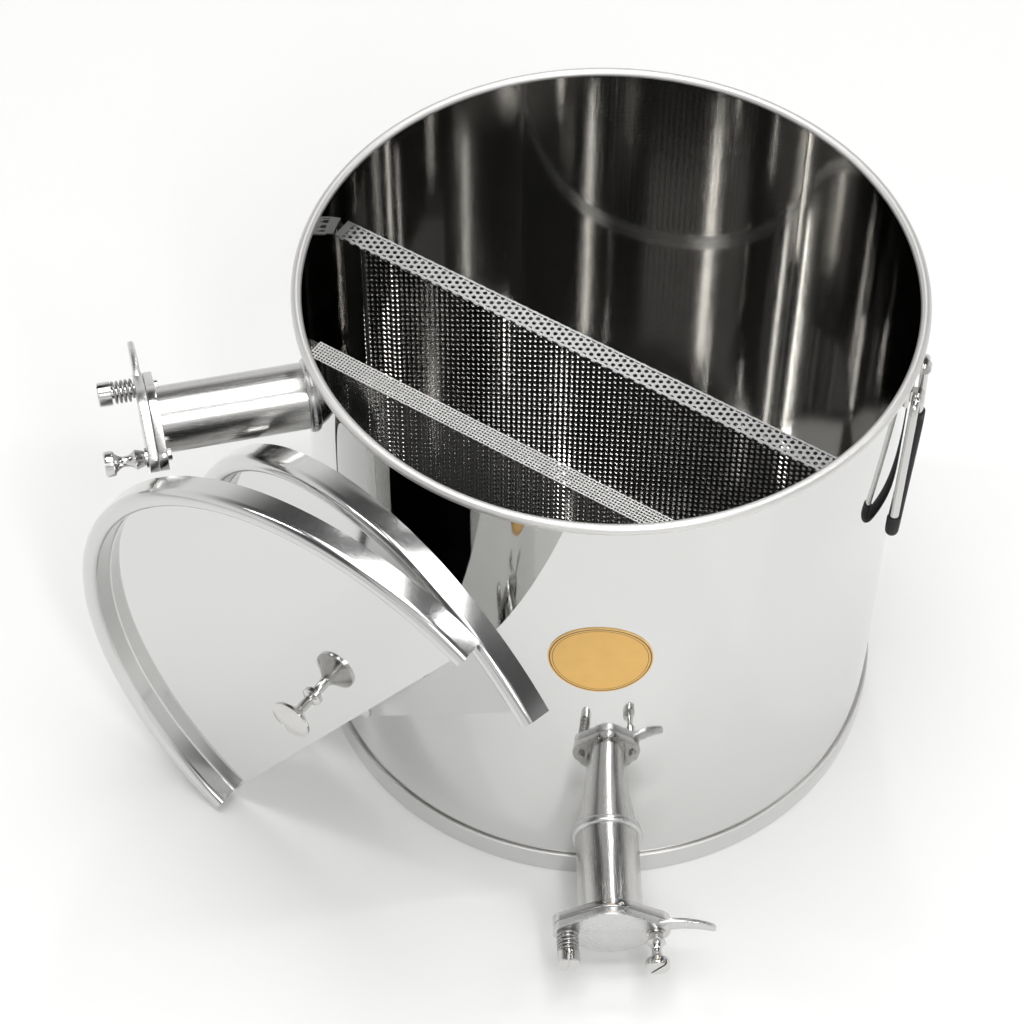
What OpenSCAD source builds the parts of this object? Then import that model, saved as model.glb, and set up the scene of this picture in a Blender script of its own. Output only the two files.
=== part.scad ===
// Honey settling tank: a round stainless tank with two lift-out screens, two gate valves
// and two drop handles, and its two half lids set on edge beside it.
// Millimetres, +Z up. The origin is on the tank's axis, at the level that it stands on.
// The front spout points along -Y.

/* [Tank] */
// Inside diameter of the tank
tank_d = 400; // [380:1:460]
// Height over the rolled rim
tank_h = 390; // [340:1:520]
// Thickness of the wall sheet
wall_t = 1; // [0.6:0.1:2]
// Diameter of the rolled rim
bead_d = 7; // [5:0.5:10]
// Height of the base ring
base_h = 20; // [12:1:40]
// How far the base ring stands out from the wall
base_step = 2.4; // [1:0.2:5]
// Width of the base ring's foot and of its top ledge
base_ledge_w = 16; // [8:1:30]
// Thickness of the base ring's sheet
base_t = 1.5; // [1:0.1:3]
// Thickness of the tank floor
floor_t = 1.5; // [1:0.1:3]
// Diameter of the round label
label_d = 68; // [30:1:100]
// Thickness of the label
label_t = 0.4; // [0.2:0.1:1]
// Depth of the label's centre below the rim's top
label_drop = 139; // [80:1:200]
// Angle of the label from the front spout, clockwise seen from above
label_turn = 3; // [-20:1:20]

/* [Spouts] */
// Outside diameter of the spout tubes
spout_d = 44; // [34:1:50]
// Wall of the spout tubes
spout_t = 1.5; // [1:0.1:3]
// Width of the weld collar around a spout
collar_w = 2.5; // [1:0.1:4]
// How far the weld collar stands off the wall
collar_l = 3; // [2:0.5:8]
// Height of the front weld collar above the base ring
collar_rise = 0.5; // [0.5:0.5:40]
// Length of the front spout from the wall to its flange
front_spout_l = 66; // [45:1:120]
// Length of the side spout from the wall to its flange
side_spout_l = 98; // [60:1:140]
// Depth of the side spout's axis below the rim's top
side_spout_drop = 60; // [55:1:120]
// Angle of the side spout from the front spout, clockwise seen from above
side_spout_turn = 78; // [76:1:84]

/* [Gate valves] */
// Width of the flange's face around the spout
flange_margin = 3; // [2:0.5:6]
// Distance between the flange's round middle and the gate screws
ear_clear = 1; // [1:0.5:5]
// Radius of the rounded ears
ear_r = 10; // [8:0.5:12]
// Thickness of the flange
flange_t = 6; // [4:0.5:10]
// Thickness of the gate blade
blade_t = 6; // [4:0.5:10]
// Diameter of both gate screws
screw_d = 8; // [5:0.5:10]
// Length of gate screw that shows behind the flange
screw_tail = 3; // [1:0.5:8]
// Width of the screwdriver slots
drive_slot_w = 2; // [1:0.2:3]
// Depth of the screwdriver slots
drive_slot_depth = 2.5; // [1:0.5:4]
// Diameter of the pivot screw's head
pivot_head_d = 16; // [14:0.5:20]
// Length of the pivot screw's head
pivot_head_l = 9; // [6:0.5:14]
// Outside diameter of the pivot spring
spring_d = 15.4; // [14:0.2:18]
// Diameter of the spring's wire
spring_wire_d = 1.8; // [1.2:0.1:2]
// Length of the pivot spring as fitted
spring_l = 15; // [12:0.5:20]
// Turns of the pivot spring
spring_turns = 4.5; // [3:0.5:5]
// Diameter of the clamp washer
washer_d = 13; // [11:0.5:18]
// Thickness of the clamp washer
washer_t = 1.5; // [1:0.1:3]
// Length of the clamp knob's tapered shoulder
knob_shoulder_l = 6; // [3:0.5:10]
// Diameter at the foot of that shoulder
knob_foot_d = 9.6; // [9:0.2:12]
// Largest diameter of the clamp knob's shoulder
knob_flare_d = 13.2; // [12.2:0.2:16]
// Diameter of the clamp knob's waist
knob_waist_d = 6.8; // [5:0.2:9]
// Length of the clamp knob's hollowed waist
knob_waist_l = 13; // [9:0.5:18]
// Diameter of the clamp knob's head
knob_head_d = 16.6; // [13:0.2:20]
// Length of the clamp knob's head
knob_head_l = 7; // [4:0.5:10]
// Length of the horn from the ear's screw to its tip
horn_l = 41; // [25:1:60]
// Depth of the horn at its root
horn_root_h = 10; // [7:0.5:14]
// Depth of the horn at its tip
horn_tip_h = 4; // [2:0.5:6]
// Height of the horn's root above the screw
horn_lift = 4; // [2:0.5:6]
// Rise of the horn's bow
horn_bow = 5; // [0:0.5:10]

/* [Screens] */
// Angle of the screens, clockwise seen from above
screen_turn = 34.6; // [30:0.1:40]
// Distance of the coarse screen from the tank's axis
coarse_offset = 20; // [5:1:50]
// Distance of the fine screen from the tank's axis
fine_offset = 120; // [80:1:125]
// Depth of the screens' lips below the rim's top
screen_drop = 37; // [30:1:80]
// Thickness of the screens' sheet
sheet_t = 1; // [0.6:0.1:2]
// Width of the coarse screen's folded lip
coarse_lip_w = 15.5; // [8:0.5:25]
// Width of the fine screen's folded lip
fine_lip_w = 13.5; // [8:0.5:20]
// Diameter of the coarse screen's holes
hole_d = 12; // [6:0.5:14]
// Distance between the coarse screen's holes
hole_pitch = 21; // [20:0.5:40]
// Diameter of the holes in the coarse lip
lip_hole_d = 8; // [3:0.5:10]
// Width of the fine screen's square gaps
mesh_gap = 15.5; // [13:0.5:24]
// Width of the fine screen's bars
mesh_bar = 2.2; // [1:0.1:4]
// Plain margin at the edges of the screens
screen_margin = 16; // [14:1:30]
// Width of the fine screen's flat frame
frame_w = 10; // [6:0.5:14]
// Thickness of that frame
frame_t = 1.5; // [1:0.1:3]
// Reach of the guide channels from the screens' ends
guide_w = 12; // [8:0.5:20]
// Thickness of the guide channels' sides
guide_t = 2; // [1:0.1:3]
// Gap between the guide channels and the screens' lips
guide_drop = 8; // [4:1:30]

/* [Handles] */
// Angle of the right handle from the front spout, anticlockwise seen from above
handle_turn = 74; // [60:1:85]
// Angle of the left handle from the front spout, clockwise seen from above
left_handle_turn = 122; // [112:1:140]
// Depth of the handle pivots below the rim's top
handle_drop = 36; // [34:1:80]
// Distance of the handle pivots from the wall
handle_off = 5.5; // [5:0.5:12]
// Diameter of the bail's wire
bail_d = 6; // [4:0.5:8]
// Width of the bail at its pivots
bail_top_w = 46; // [44:1:60]
// Width of the bail at the grip
bail_bottom_w = 106; // [96:1:130]
// Height of the bail from pivots to grip
bail_h = 97; // [70:1:120]
// Bend radius of the bail at the middle of its wire
bail_bend_r = 8; // [6:0.5:12]
// Length of the pins that turn in the bracket
bail_pin_l = 14.5; // [13.5:0.5:17]
// Outside diameter of the sleeve grip
grip_d = 9; // [8:0.5:10]
// Length of sleeve that runs up past each bottom corner
grip_rise = 16; // [16:1:30]
// Thickness of a bracket's lugs
lug_t = 5; // [3:0.5:6]
// Distance between the lugs' inner faces
lug_gap = 21; // [18:0.5:22]
// Metal around the pivot holes
lug_margin = 2; // [1:0.5:4]
// Width of a bracket's plate
bracket_w = 38; // [34:1:50]
// Height of a bracket's plate
bracket_h = 14; // [12:1:30]
// Thickness of a bracket's plate
bracket_t = 2; // [1:0.1:3]

/* [Half lids] */
// Thickness of the lids' sheet
lid_t = 1; // [0.6:0.1:2]
// Room between the tank's rim and a lid's channel
lid_room = 2; // [1:0.1:3]
// Depth of the lid's panel below the middle of the rim
lid_depth = 11; // [6:0.5:20]
// Distance of the knob from the straight edge
lid_knob_inset = 27.5; // [18:0.5:60]
// Height of the lid knob
lid_knob_h = 27; // [18:0.5:36]
// Diameter of the lid knob's head
lid_knob_d = 29; // [20:0.5:40]
// Thickness of the head at its edge
lid_knob_edge = 2.5; // [1:0.5:5]
// Rise of the head's crown above its edge
lid_knob_crown = 3; // [1:0.5:6]
// Diameter of the knob's neck
lid_knob_neck_d = 7; // [6.5:0.5:10]
// Diameter of the knob's base collar
lid_knob_base_d = 14; // [10:0.5:18]
// Height of the base collar
lid_knob_base_h = 3; // [1:0.5:5]
// Diameter of the knob's screw
lid_screw_d = 5; // [3:0.5:6]
// Length of screw inside the knob
lid_screw_l = 12; // [6:0.5:16]
// Diameter of the screw's head
lid_screw_head_d = 9.5; // [7:0.5:12]
// Height of the screw's head
lid_screw_head_h = 3; // [2:0.5:5]
// Distance of the front lid's corner from the rim of the back lid
lid_front_off = 1; // [1:0.5:30]
// Distance of the back lid's back edge from the wall
lid_back_off = 17; // [15:1:25]

/* [Hidden] */
// Gap between faces that slide past each other
run_gap = 0.3;
// Radial clearance of a turning shaft
shaft_gap = 0.05;
// Clearance of the blade's slot around the clamp stud
slot_gap = 0.6;
// Clearance of the screens in the tank and in their guides
screen_gap = 0.6;
// Length by which a cutter passes the face that it cuts
overrun = 1;
// Fineness of round shapes, and of those as wide as the tank
$fn = 96;
wall_fn = 360;

// Sides of a swept rod, and steps in each of its bends
rod_sides = 16;
bend_steps = 7;

// Where the lids are set down: the way they face, clockwise from the front spout, the turn
// of the straight edge above level, and the shift along their own plane as a share of their radius
lid_front_turn = 36.1;
lid_front_roll = 57.7;
lid_front_shift_share = -0.152;
lid_back_turn = 49.5;
lid_back_roll = 47.5;
lid_back_shift_share = 0.181;
// Clearance of the lids from the side gate valve
lid_valve_gap = 2.5;
// Thickness of the glue under the label
label_glue_t = 0.3;

tank_r = tank_d / 2;
wall_r = tank_r + wall_t;
bead_r = bead_d / 2;
bead_path_r = tank_r + bead_r;
bead_z = tank_h - bead_r;
base_r = wall_r + base_step;
label_r = wall_r + label_glue_t;
floor_top = base_h + floor_t;
collar_d = spout_d + 2 * collar_w;
spout_bore_d = spout_d - 2 * spout_t;
front_spout_z = base_h + collar_rise + collar_d / 2;
side_spout_z = tank_h - side_spout_drop;
front_flange_y = wall_r + front_spout_l;
side_flange_y = wall_r + side_spout_l;

flange_r = spout_d / 2 + flange_margin;
ear_x = flange_r + screw_d / 2 + ear_clear;
blade_z = flange_t + run_gap;
blade_top = blade_z + blade_t;
washer_z = blade_top + run_gap;
knob_z = washer_z + washer_t + run_gap;
flare_z = knob_z + knob_shoulder_l;
knob_head_z = flare_z + knob_waist_l;
spring_z = blade_top + run_gap;
pivot_head_z = spring_z + spring_l;
spring_path_r = (spring_d - spring_wire_d) / 2;
spring_pitch = (spring_l - spring_wire_d) / spring_turns;
slot_r = screw_d / 2 + slot_gap;

screen_top = tank_h - screen_drop;
screen_foot = floor_top + run_gap;
guide_top = screen_top - guide_drop;

handle_z = tank_h - handle_drop;
handle_r = wall_r + handle_off;
lug_r = bail_d / 2 + lug_margin;
pin_in_x = bail_top_w / 2 - bail_pin_l;
pin_l = lug_gap / 2 + lug_t + run_gap - pin_in_x;
wire_in_x = pin_in_x + pin_l / 2;
bail_points = [
    [-wire_in_x, 0], [-bail_top_w / 2, 0], [-bail_bottom_w / 2, -bail_h],
    [bail_bottom_w / 2, -bail_h], [bail_top_w / 2, 0], [wire_in_x, 0]
];
bail_side = bail_points[1] - bail_points[2];
grip_reach = grip_rise / norm(bail_side);
grip_points = [
    bail_points[2] + grip_reach * bail_side, bail_points[2], bail_points[3],
    bail_points[3] + grip_reach * [-bail_side[0], bail_side[1]]
];

lid_arch_r = bead_r + lid_room;
lid_r = bead_path_r + lid_arch_r + lid_t;
lid_panel_r = bead_path_r - lid_arch_r;
lid_panel_top = -lid_depth;
lid_knob_head_z = lid_knob_h - lid_knob_crown - lid_knob_edge;

// Distance of each lid's back from the tank's axis: the front lid's corner clears the back lid's rim
lid_front_shift = lid_front_shift_share * lid_r;
lid_back_shift = lid_back_shift_share * lid_r;
lid_turn_apart = lid_back_turn - lid_front_turn;
lid_front_corner_x = lid_front_shift + lid_r * cos(lid_front_roll);
lid_back_reach = wall_r + lid_back_off;
lid_back_front = lid_back_reach + lid_depth + lid_t + lid_arch_r + lid_t;
lid_front_reach = (lid_back_front + lid_front_off + lid_front_corner_x * sin(lid_turn_apart)) / cos(lid_turn_apart);

// Both lids slide along the back one as far as the side spout and its clamp knob need
spout_lean = side_spout_turn - lid_back_turn;
spout_cross_x = -lid_back_reach * tan(spout_lean);
spout_cross_r = spout_d / 2 / cos(spout_lean);
knob_lean = side_spout_turn - lid_front_turn;
knob_reach = side_flange_y + knob_head_z + knob_head_l / 2;
knob_cross_x = ear_x * cos(knob_lean) - knob_reach * sin(knob_lean);
knob_cross_r = (knob_head_d + knob_head_l) / 2;
// Shift at which a lid's arc passes clear of a round piece in its plane
function clear_shift(x, r, roll) =
    let (room = lid_r + r + lid_valve_gap, rise = side_spout_z - lid_r * sin(roll))
    x + sqrt(max(0, room * room - rise * rise));
lid_slide = max(
    0,
    clear_shift(spout_cross_x, spout_cross_r, lid_back_roll) - lid_back_shift,
    (clear_shift(knob_cross_x, knob_cross_r, lid_front_roll) - lid_front_shift) / cos(lid_turn_apart)
);

// Centre of the spring's wire after a number of turns
function spring_centre(turn) = [
    spring_path_r * cos(360 * turn),
    spring_path_r * sin(360 * turn),
    spring_wire_d / 2 + spring_pitch * turn
];
spring_rings_per_turn = 8;
spring_sides = 6;
spring_ring_count = floor(spring_turns * spring_rings_per_turn) + 1;
spring_climb = atan2(spring_pitch, 2 * PI * spring_path_r);
// One ring of points around the spring's wire
function spring_ring(i) =
    let (turn = i / spring_rings_per_turn, spin = 360 * turn)
    let (out = [cos(spin), sin(spin), 0])
    let (over = [sin(spin) * sin(spring_climb), -cos(spin) * sin(spring_climb), cos(spring_climb)])
    [for (k = [0 : spring_sides - 1])
        let (a = 360 * k / spring_sides)
        spring_centre(turn) + spring_wire_d / 2 * (cos(a) * out + sin(a) * over)];
// Distances from one turn of the wire to the next, less the wire
spring_gaps = [
    for (i = [0 : spring_ring_count - 1])
        for (j = [i + spring_rings_per_turn / 2 : 1 : spring_ring_count - 1])
            norm(spring_centre(i / spring_rings_per_turn) - spring_centre(j / spring_rings_per_turn))
                - spring_wire_d
];
echo(spring_least_gap = min(spring_gaps));

STEEL = "#D3D6D9";
DARK_STEEL = "#6E7276";
CAST = "#C4C7C9";
GRIP = "#1B1B1D";
AMBER = "#E6B765";

// Puts a shape on the wall: its X runs to the right seen from outside, its Y up, its Z outwards
module on_wall(turn, r, z) {
    rotate([0, 0, turn]) translate([0, -r, z]) rotate([90, 0, 0]) children();
}

module on_front_flange() {
    on_wall(0, front_flange_y, front_spout_z) children();
}

module on_side_flange() {
    on_wall(-side_spout_turn, side_flange_y, side_spout_z) children();
}

// Turns a shape so that its X runs along the screens and its -Y towards the spouts
module along_screens() {
    rotate([0, 0, -screen_turn]) children();
}

module tank_shell() {
    color(STEEL) difference() {
        rotate_extrude($fn = wall_fn) {
            translate([tank_r, base_h]) square([wall_t, bead_z - base_h]);
            translate([bead_path_r, bead_z]) circle(bead_r);
        }
        spout_hole(0, front_spout_z, front_flange_y);
        spout_hole(-side_spout_turn, side_spout_z, side_flange_y);
    }
}

module spout_hole(turn, z, y) {
    on_wall(turn, 0, z) cylinder(d = spout_d, h = y);
}

module tank_floor() {
    color(STEEL) translate([0, 0, base_h]) cylinder(r = tank_r, h = floor_t, $fn = wall_fn);
}

// A channel: foot below, ledge above, standing web between them
module base_ring() {
    color(STEEL) rotate_extrude($fn = wall_fn) {
        translate([base_r - base_ledge_w, 0]) square([base_ledge_w, base_t]);
        translate([base_r - base_t, 0]) square([base_t, base_h]);
        translate([base_r - base_ledge_w, base_h - base_t]) square([base_ledge_w, base_t]);
    }
}

module label_disc() {
    color(AMBER) intersection() {
        on_wall(-label_turn, 0, tank_h - label_drop) cylinder(d = label_d, h = label_r + label_t + overrun);
        rotate_extrude($fn = wall_fn) translate([label_r, 0]) square([label_t, tank_h]);
    }
}

// A tube from the tank's inside to the flange, cut flush with the inner wall
module spout(turn, y, z) {
    color(STEEL) difference() {
        on_wall(turn, 0, z) difference() {
            cylinder(d = spout_d, h = y);
            translate([0, 0, -overrun]) cylinder(d = spout_bore_d, h = y + 2 * overrun);
        }
        translate([0, 0, z - spout_d]) cylinder(r = tank_r, h = 2 * spout_d, $fn = wall_fn);
    }
}

module weld_collar(turn, z) {
    color(CAST) difference() {
        on_wall(turn, 0, z) difference() {
            cylinder(d = collar_d, h = wall_r + collar_l);
            cylinder(d = spout_d, h = wall_r + collar_l + overrun);
        }
        translate([0, 0, z - collar_d]) cylinder(r = wall_r, h = 2 * collar_d, $fn = wall_fn);
    }
}

// The rhombic outline shared by flange and blade: a round middle and two ears, joined by tangents
module rhomb() {
    lean = acos((flange_r - ear_r) / ear_x);
    near = flange_r * [cos(lean), sin(lean)];
    far = [ear_x, 0] + ear_r * [cos(lean), sin(lean)];
    circle(flange_r);
    for (side = [-1, 1]) translate([side * ear_x, 0]) circle(ear_r);
    polygon([
        far, near, [-near[0], near[1]], [-far[0], far[1]],
        [-far[0], -far[1]], [-near[0], -near[1]], [near[0], -near[1]], [far[0], -far[1]]
    ]);
}

module flange() {
    color(STEEL) linear_extrude(flange_t) difference() {
        rhomb();
        circle(d = spout_bore_d);
        translate([-ear_x, 0]) circle(d = screw_d);
        translate([ear_x, 0]) circle(d = screw_d + 2 * shaft_gap);
    }
}

// The horn's outline: a bowed tusk that tapers from root to tip
horn_steps = 10;
function horn_mid(t) = [horn_l * t, horn_lift * (1 - 2 * t) + 4 * horn_bow * t * (1 - t)];
function horn_half(t) = (horn_root_h * (1 - t) + horn_tip_h * t) / 2;
module horn() {
    steps = [for (i = [0 : horn_steps]) i / horn_steps];
    polygon(concat(
        [for (t = steps) horn_mid(t) + [0, horn_half(t)]],
        [for (i = [horn_steps : -1 : 0]) horn_mid(steps[i]) - [0, horn_half(steps[i])]]
    ));
}

// The blade turns about the left screw; its slot, open below, drops over the right one
module gate_blade(horn_side) {
    color(CAST) translate([0, 0, blade_z]) difference() {
        union() {
            linear_extrude(blade_t) rhomb();
            translate([horn_side * ear_x, 0, 0]) mirror([horn_side < 0 ? 1 : 0, 0, 0])
                linear_extrude(blade_t) horn();
        }
        translate([-ear_x, 0, -overrun]) cylinder(d = screw_d + 2 * shaft_gap, h = blade_t + 2 * overrun);
        translate([ear_x, 0, -overrun]) cylinder(r = slot_r, h = blade_t + 2 * overrun);
        translate([0, 0, -overrun]) linear_extrude(blade_t + 2 * overrun) intersection() {
            translate([-ear_x, 0]) difference() {
                circle(2 * ear_x + slot_r);
                circle(2 * ear_x - slot_r);
            }
            translate([ear_x - 2 * slot_r, -2 * ear_r]) square([4 * slot_r, 2 * ear_r]);
        }
    }
}

module drive_slot(d, z) {
    translate([-d, -drive_slot_w / 2, z - drive_slot_depth])
        cube([2 * d, drive_slot_w, drive_slot_depth + overrun]);
}

module pivot_screw() {
    color(STEEL) translate([-ear_x, 0, 0]) difference() {
        union() {
            translate([0, 0, -screw_tail]) cylinder(d = screw_d, h = screw_tail + pivot_head_z + overrun);
            translate([0, 0, pivot_head_z]) cylinder(d = pivot_head_d, h = pivot_head_l);
        }
        rotate([0, 0, 90]) drive_slot(pivot_head_d, pivot_head_z + pivot_head_l);
    }
}

module pivot_spring() {
    color(STEEL) translate([-ear_x, 0, spring_z])
        ring_tube([for (i = [0 : spring_ring_count - 1]) spring_ring(i)]);
}

module clamp_washer() {
    color(STEEL) translate([ear_x, 0, washer_z]) difference() {
        cylinder(d = washer_d, h = washer_t);
        translate([0, 0, -overrun]) cylinder(d = screw_d + 2 * shaft_gap, h = washer_t + 2 * overrun);
    }
}

// A turned knob with a hollowed waist, in one piece with its stud
module clamp_knob() {
    waist_cut = (knob_flare_d - knob_waist_d) / 2;
    waist_arc_r = (pow(knob_waist_l / 2, 2) + pow(waist_cut, 2)) / (2 * waist_cut);
    color(STEEL) translate([ear_x, 0, 0]) difference() {
        rotate_extrude() {
            translate([0, -screw_tail]) square([screw_d / 2, screw_tail + flare_z]);
            difference() {
                polygon([
                    [0, knob_z], [knob_foot_d / 2, knob_z], [knob_flare_d / 2, flare_z],
                    [knob_flare_d / 2, knob_head_z], [knob_head_d / 2, knob_head_z],
                    [knob_head_d / 2, knob_head_z + knob_head_l], [0, knob_head_z + knob_head_l]
                ]);
                translate([knob_waist_d / 2 + waist_arc_r, flare_z + knob_waist_l / 2]) circle(waist_arc_r);
            }
        }
        rotate([0, 0, 50]) drive_slot(knob_head_d, knob_head_z + knob_head_l);
    }
}

// Half the chord that a lip may fill at a distance from the axis, and the sheet in its guides
function chord(offset) = sqrt(tank_r * tank_r - offset * offset) - screen_gap;
function sheet_half(offset) = chord(offset) - guide_t;

// A flat outline stood upright along a screen, its foot on the tank floor
module upright(offset, t) {
    translate([0, -offset, screen_foot]) rotate([90, 0, 0]) linear_extrude(t) children();
}

module coarse_screen() {
    half = sheet_half(coarse_offset + sheet_t);
    lip_half = chord(coarse_offset + coarse_lip_w);
    high = screen_top - screen_foot;
    row_step = hole_pitch * sin(60);
    cols = floor((half - screen_margin - hole_d / 2) / hole_pitch - 1 / 2);
    rows = floor((high - 2 * screen_margin - hole_d) / row_step);
    color(DARK_STEEL) along_screens() {
        upright(coarse_offset, sheet_t) difference() {
            translate([-half, 0]) square([2 * half, high]);
            for (row = [0 : rows])
                for (col = [-cols : cols])
                    translate([
                        (col + (row % 2) / 2) * hole_pitch,
                        screen_margin + hole_d / 2 + row * row_step
                    ]) circle(d = hole_d);
        }
        translate([0, -coarse_offset, screen_top - sheet_t]) linear_extrude(sheet_t) difference() {
            translate([-lip_half, -coarse_lip_w]) square([2 * lip_half, coarse_lip_w]);
            for (col = [-cols : cols])
                translate([col * hole_pitch, -coarse_lip_w / 2]) circle(d = lip_hole_d);
        }
    }
}

fine_half = sheet_half(fine_offset + sheet_t + frame_t);
module fine_screen() {
    lip_half = chord(fine_offset + fine_lip_w);
    high = screen_top - screen_foot;
    step = mesh_gap + mesh_bar;
    cols = floor((2 * (fine_half - frame_w) - mesh_bar) / step);
    rows = floor((high - 2 * frame_w - mesh_bar) / step);
    color(DARK_STEEL) along_screens() {
        upright(fine_offset, sheet_t) difference() {
            translate([-fine_half, 0]) square([2 * fine_half, high]);
            for (row = [0 : rows - 1])
                for (col = [0 : cols - 1])
                    translate([(col - cols / 2) * step + mesh_bar / 2, frame_w + mesh_bar + row * step])
                        square(mesh_gap);
        }
        translate([-lip_half, -fine_offset - fine_lip_w, screen_top - sheet_t])
            cube([2 * lip_half, fine_lip_w, sheet_t]);
    }
}

// Flat bars down both ends and along the foot, on the mesh's spout side
module fine_screen_frame() {
    high = guide_top - screen_foot;
    color(STEEL) along_screens() upright(fine_offset + sheet_t, frame_t) difference() {
        translate([-fine_half, 0]) square([2 * fine_half, high]);
        translate([frame_w - fine_half, frame_w]) square([2 * (fine_half - frame_w), high]);
    }
}

// A channel on the wall that takes the end of a screen of some thickness
module guide(side, offset, t) {
    slot = t + 2 * screen_gap;
    end = sheet_half(offset + t);
    low = floor_top;
    color(STEEL) along_screens() intersection() {
        difference() {
            translate([side > 0 ? end - guide_w : -tank_r, screen_gap - offset - guide_t - slot, low])
                cube([tank_r - end + guide_w, slot + 2 * guide_t, guide_top - low]);
            translate([-end - screen_gap, screen_gap - offset - slot, low - overrun])
                cube([2 * (end + screen_gap), slot, guide_top - low + 2 * overrun]);
        }
        cylinder(r = tank_r, h = tank_h, $fn = wall_fn);
    }
}

// A skin over rings of points, one unbroken tube with flat ends
module ring_tube(rings) {
    sides = len(rings[0]);
    last = (len(rings) - 1) * sides;
    walls = [
        for (i = [0 : len(rings) - 2])
            for (k = [0 : sides - 1])
                let (a = i * sides + k, b = i * sides + (k + 1) % sides)
                each [[a, a + sides, b], [b, a + sides, b + sides]]
    ];
    ends = [for (k = [1 : sides - 2]) each [[0, k, k + 1], [last, last + k + 1, last + k]]];
    polyhedron([for (ring = rings) each ring], concat(walls, ends));
}

// A path through points in a plane, its corners rounded: places and headings
function bend_path(points, bend_r) =
    let (last = len(points) - 1)
    let (ways = [for (i = [0 : last - 1]) (points[i + 1] - points[i]) / norm(points[i + 1] - points[i])])
    let (headings = [for (way = ways) atan2(way[1], way[0])])
    concat(
        [[points[0], headings[0]]],
        [for (i = [1 : last - 1])
            let (turn = atan2(cross(ways[i - 1], ways[i]), ways[i - 1] * ways[i]))
            let (trim = bend_r * tan(abs(turn) / 2), hand = sign(turn))
            let (start = points[i] - trim * ways[i - 1])
            let (centre = start + hand * bend_r * [-ways[i - 1][1], ways[i - 1][0]])
            for (k = [0 : bend_steps])
                let (h = headings[i - 1] + turn * k / bend_steps)
                [centre + hand * bend_r * [sin(h), -cos(h)], h]],
        [[points[last], headings[last - 1]]]
    );

// A round rod of a diameter along such a path
module bent_rod(points, bend_r, d) {
    ring_tube([for (step = bend_path(points, bend_r))
        [for (k = [0 : rod_sides - 1])
            let (a = 360 * k / rod_sides, in_plane = d / 2 * cos(a))
            [step[0][0] - in_plane * sin(step[1]), step[0][1] + in_plane * cos(step[1]), d / 2 * sin(a)]]]);
}

module on_handle(turn) {
    on_wall(turn, handle_r, handle_z) children();
}

// A plate bent to the wall, with two lugs for the bail's pins
module handle_bracket(turn) {
    lug_x = lug_gap / 2;
    color(STEEL) difference() {
        union() {
            intersection() {
                on_wall(turn, 0, handle_z) translate([-bracket_w / 2, -bracket_h / 2, 0])
                    cube([bracket_w, bracket_h, handle_r]);
                cylinder(r = wall_r + bracket_t, h = tank_h, $fn = wall_fn);
            }
            on_handle(turn) for (side = [-1, 1])
                translate([side > 0 ? lug_x : -lug_x - lug_t, 0, 0]) rotate([90, 0, 90]) linear_extrude(lug_t) {
                    circle(lug_r);
                    translate([-lug_r, -handle_off - bracket_t]) square([2 * lug_r, handle_off + bracket_t]);
                }
        }
        cylinder(r = wall_r, h = tank_h, $fn = wall_fn);
        on_handle(turn) translate([-bracket_w, 0, 0]) rotate([0, 90, 0])
            cylinder(d = bail_d + 2 * shaft_gap, h = 2 * bracket_w);
    }
}

// Straight round pins in the lugs, and the bent wire between them
module handle_bail(turn) {
    color(STEEL) on_handle(turn) {
        bent_rod(bail_points, bail_bend_r, bail_d);
        for (side = [-1, 1])
            translate([side > 0 ? pin_in_x : -pin_in_x - pin_l, 0, 0]) rotate([0, 90, 0])
                cylinder(d = bail_d, h = pin_l);
    }
}

module handle_grip(turn) {
    color(GRIP) on_handle(turn) difference() {
        bent_rod(grip_points, bail_bend_r, grip_d);
        bent_rod(bail_points, bail_bend_r, bail_d);
    }
}

// A lid's own frame: X along the straight edge, Y to the top of the arc, Z out of its face
module stand_lid(turn, reach, roll, shift) {
    translate(lid_slide * [cos(lid_back_turn), -sin(lid_back_turn), 0])
        rotate([0, 0, -turn])
            translate([shift, -reach - lid_depth - lid_t, lid_r * sin(roll)])
                rotate([90, 0, 0]) rotate([0, 0, roll]) children();
}

module on_front_lid() {
    stand_lid(lid_front_turn, lid_front_reach, lid_front_roll, lid_front_shift) children();
}

module on_back_lid() {
    stand_lid(lid_back_turn, lid_back_reach, lid_back_roll, lid_back_shift) children();
}

// Half a round tray: a flat panel, a wall up to an arched channel over the rim, and a skirt
module lid_panel() {
    color(STEEL) difference() {
        rotate_extrude(angle = 180) {
            translate([0, lid_panel_top - lid_t]) square([lid_panel_r, lid_t]);
            translate([lid_panel_r - lid_t, lid_panel_top - lid_t]) square([lid_t, lid_depth + lid_t]);
            translate([lid_r - lid_t, lid_panel_top - lid_t]) square([lid_t, lid_depth + lid_t]);
            translate([bead_path_r, 0]) difference() {
                circle(lid_arch_r + lid_t);
                circle(lid_arch_r);
                translate([-lid_r, -lid_r]) square([2 * lid_r, lid_r]);
            }
        }
        translate([0, lid_knob_inset, lid_panel_top - lid_t - overrun])
            cylinder(d = lid_screw_d, h = lid_t + 2 * overrun);
    }
}

module on_panel() {
    translate([0, lid_knob_inset, lid_panel_top]) children();
}

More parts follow.
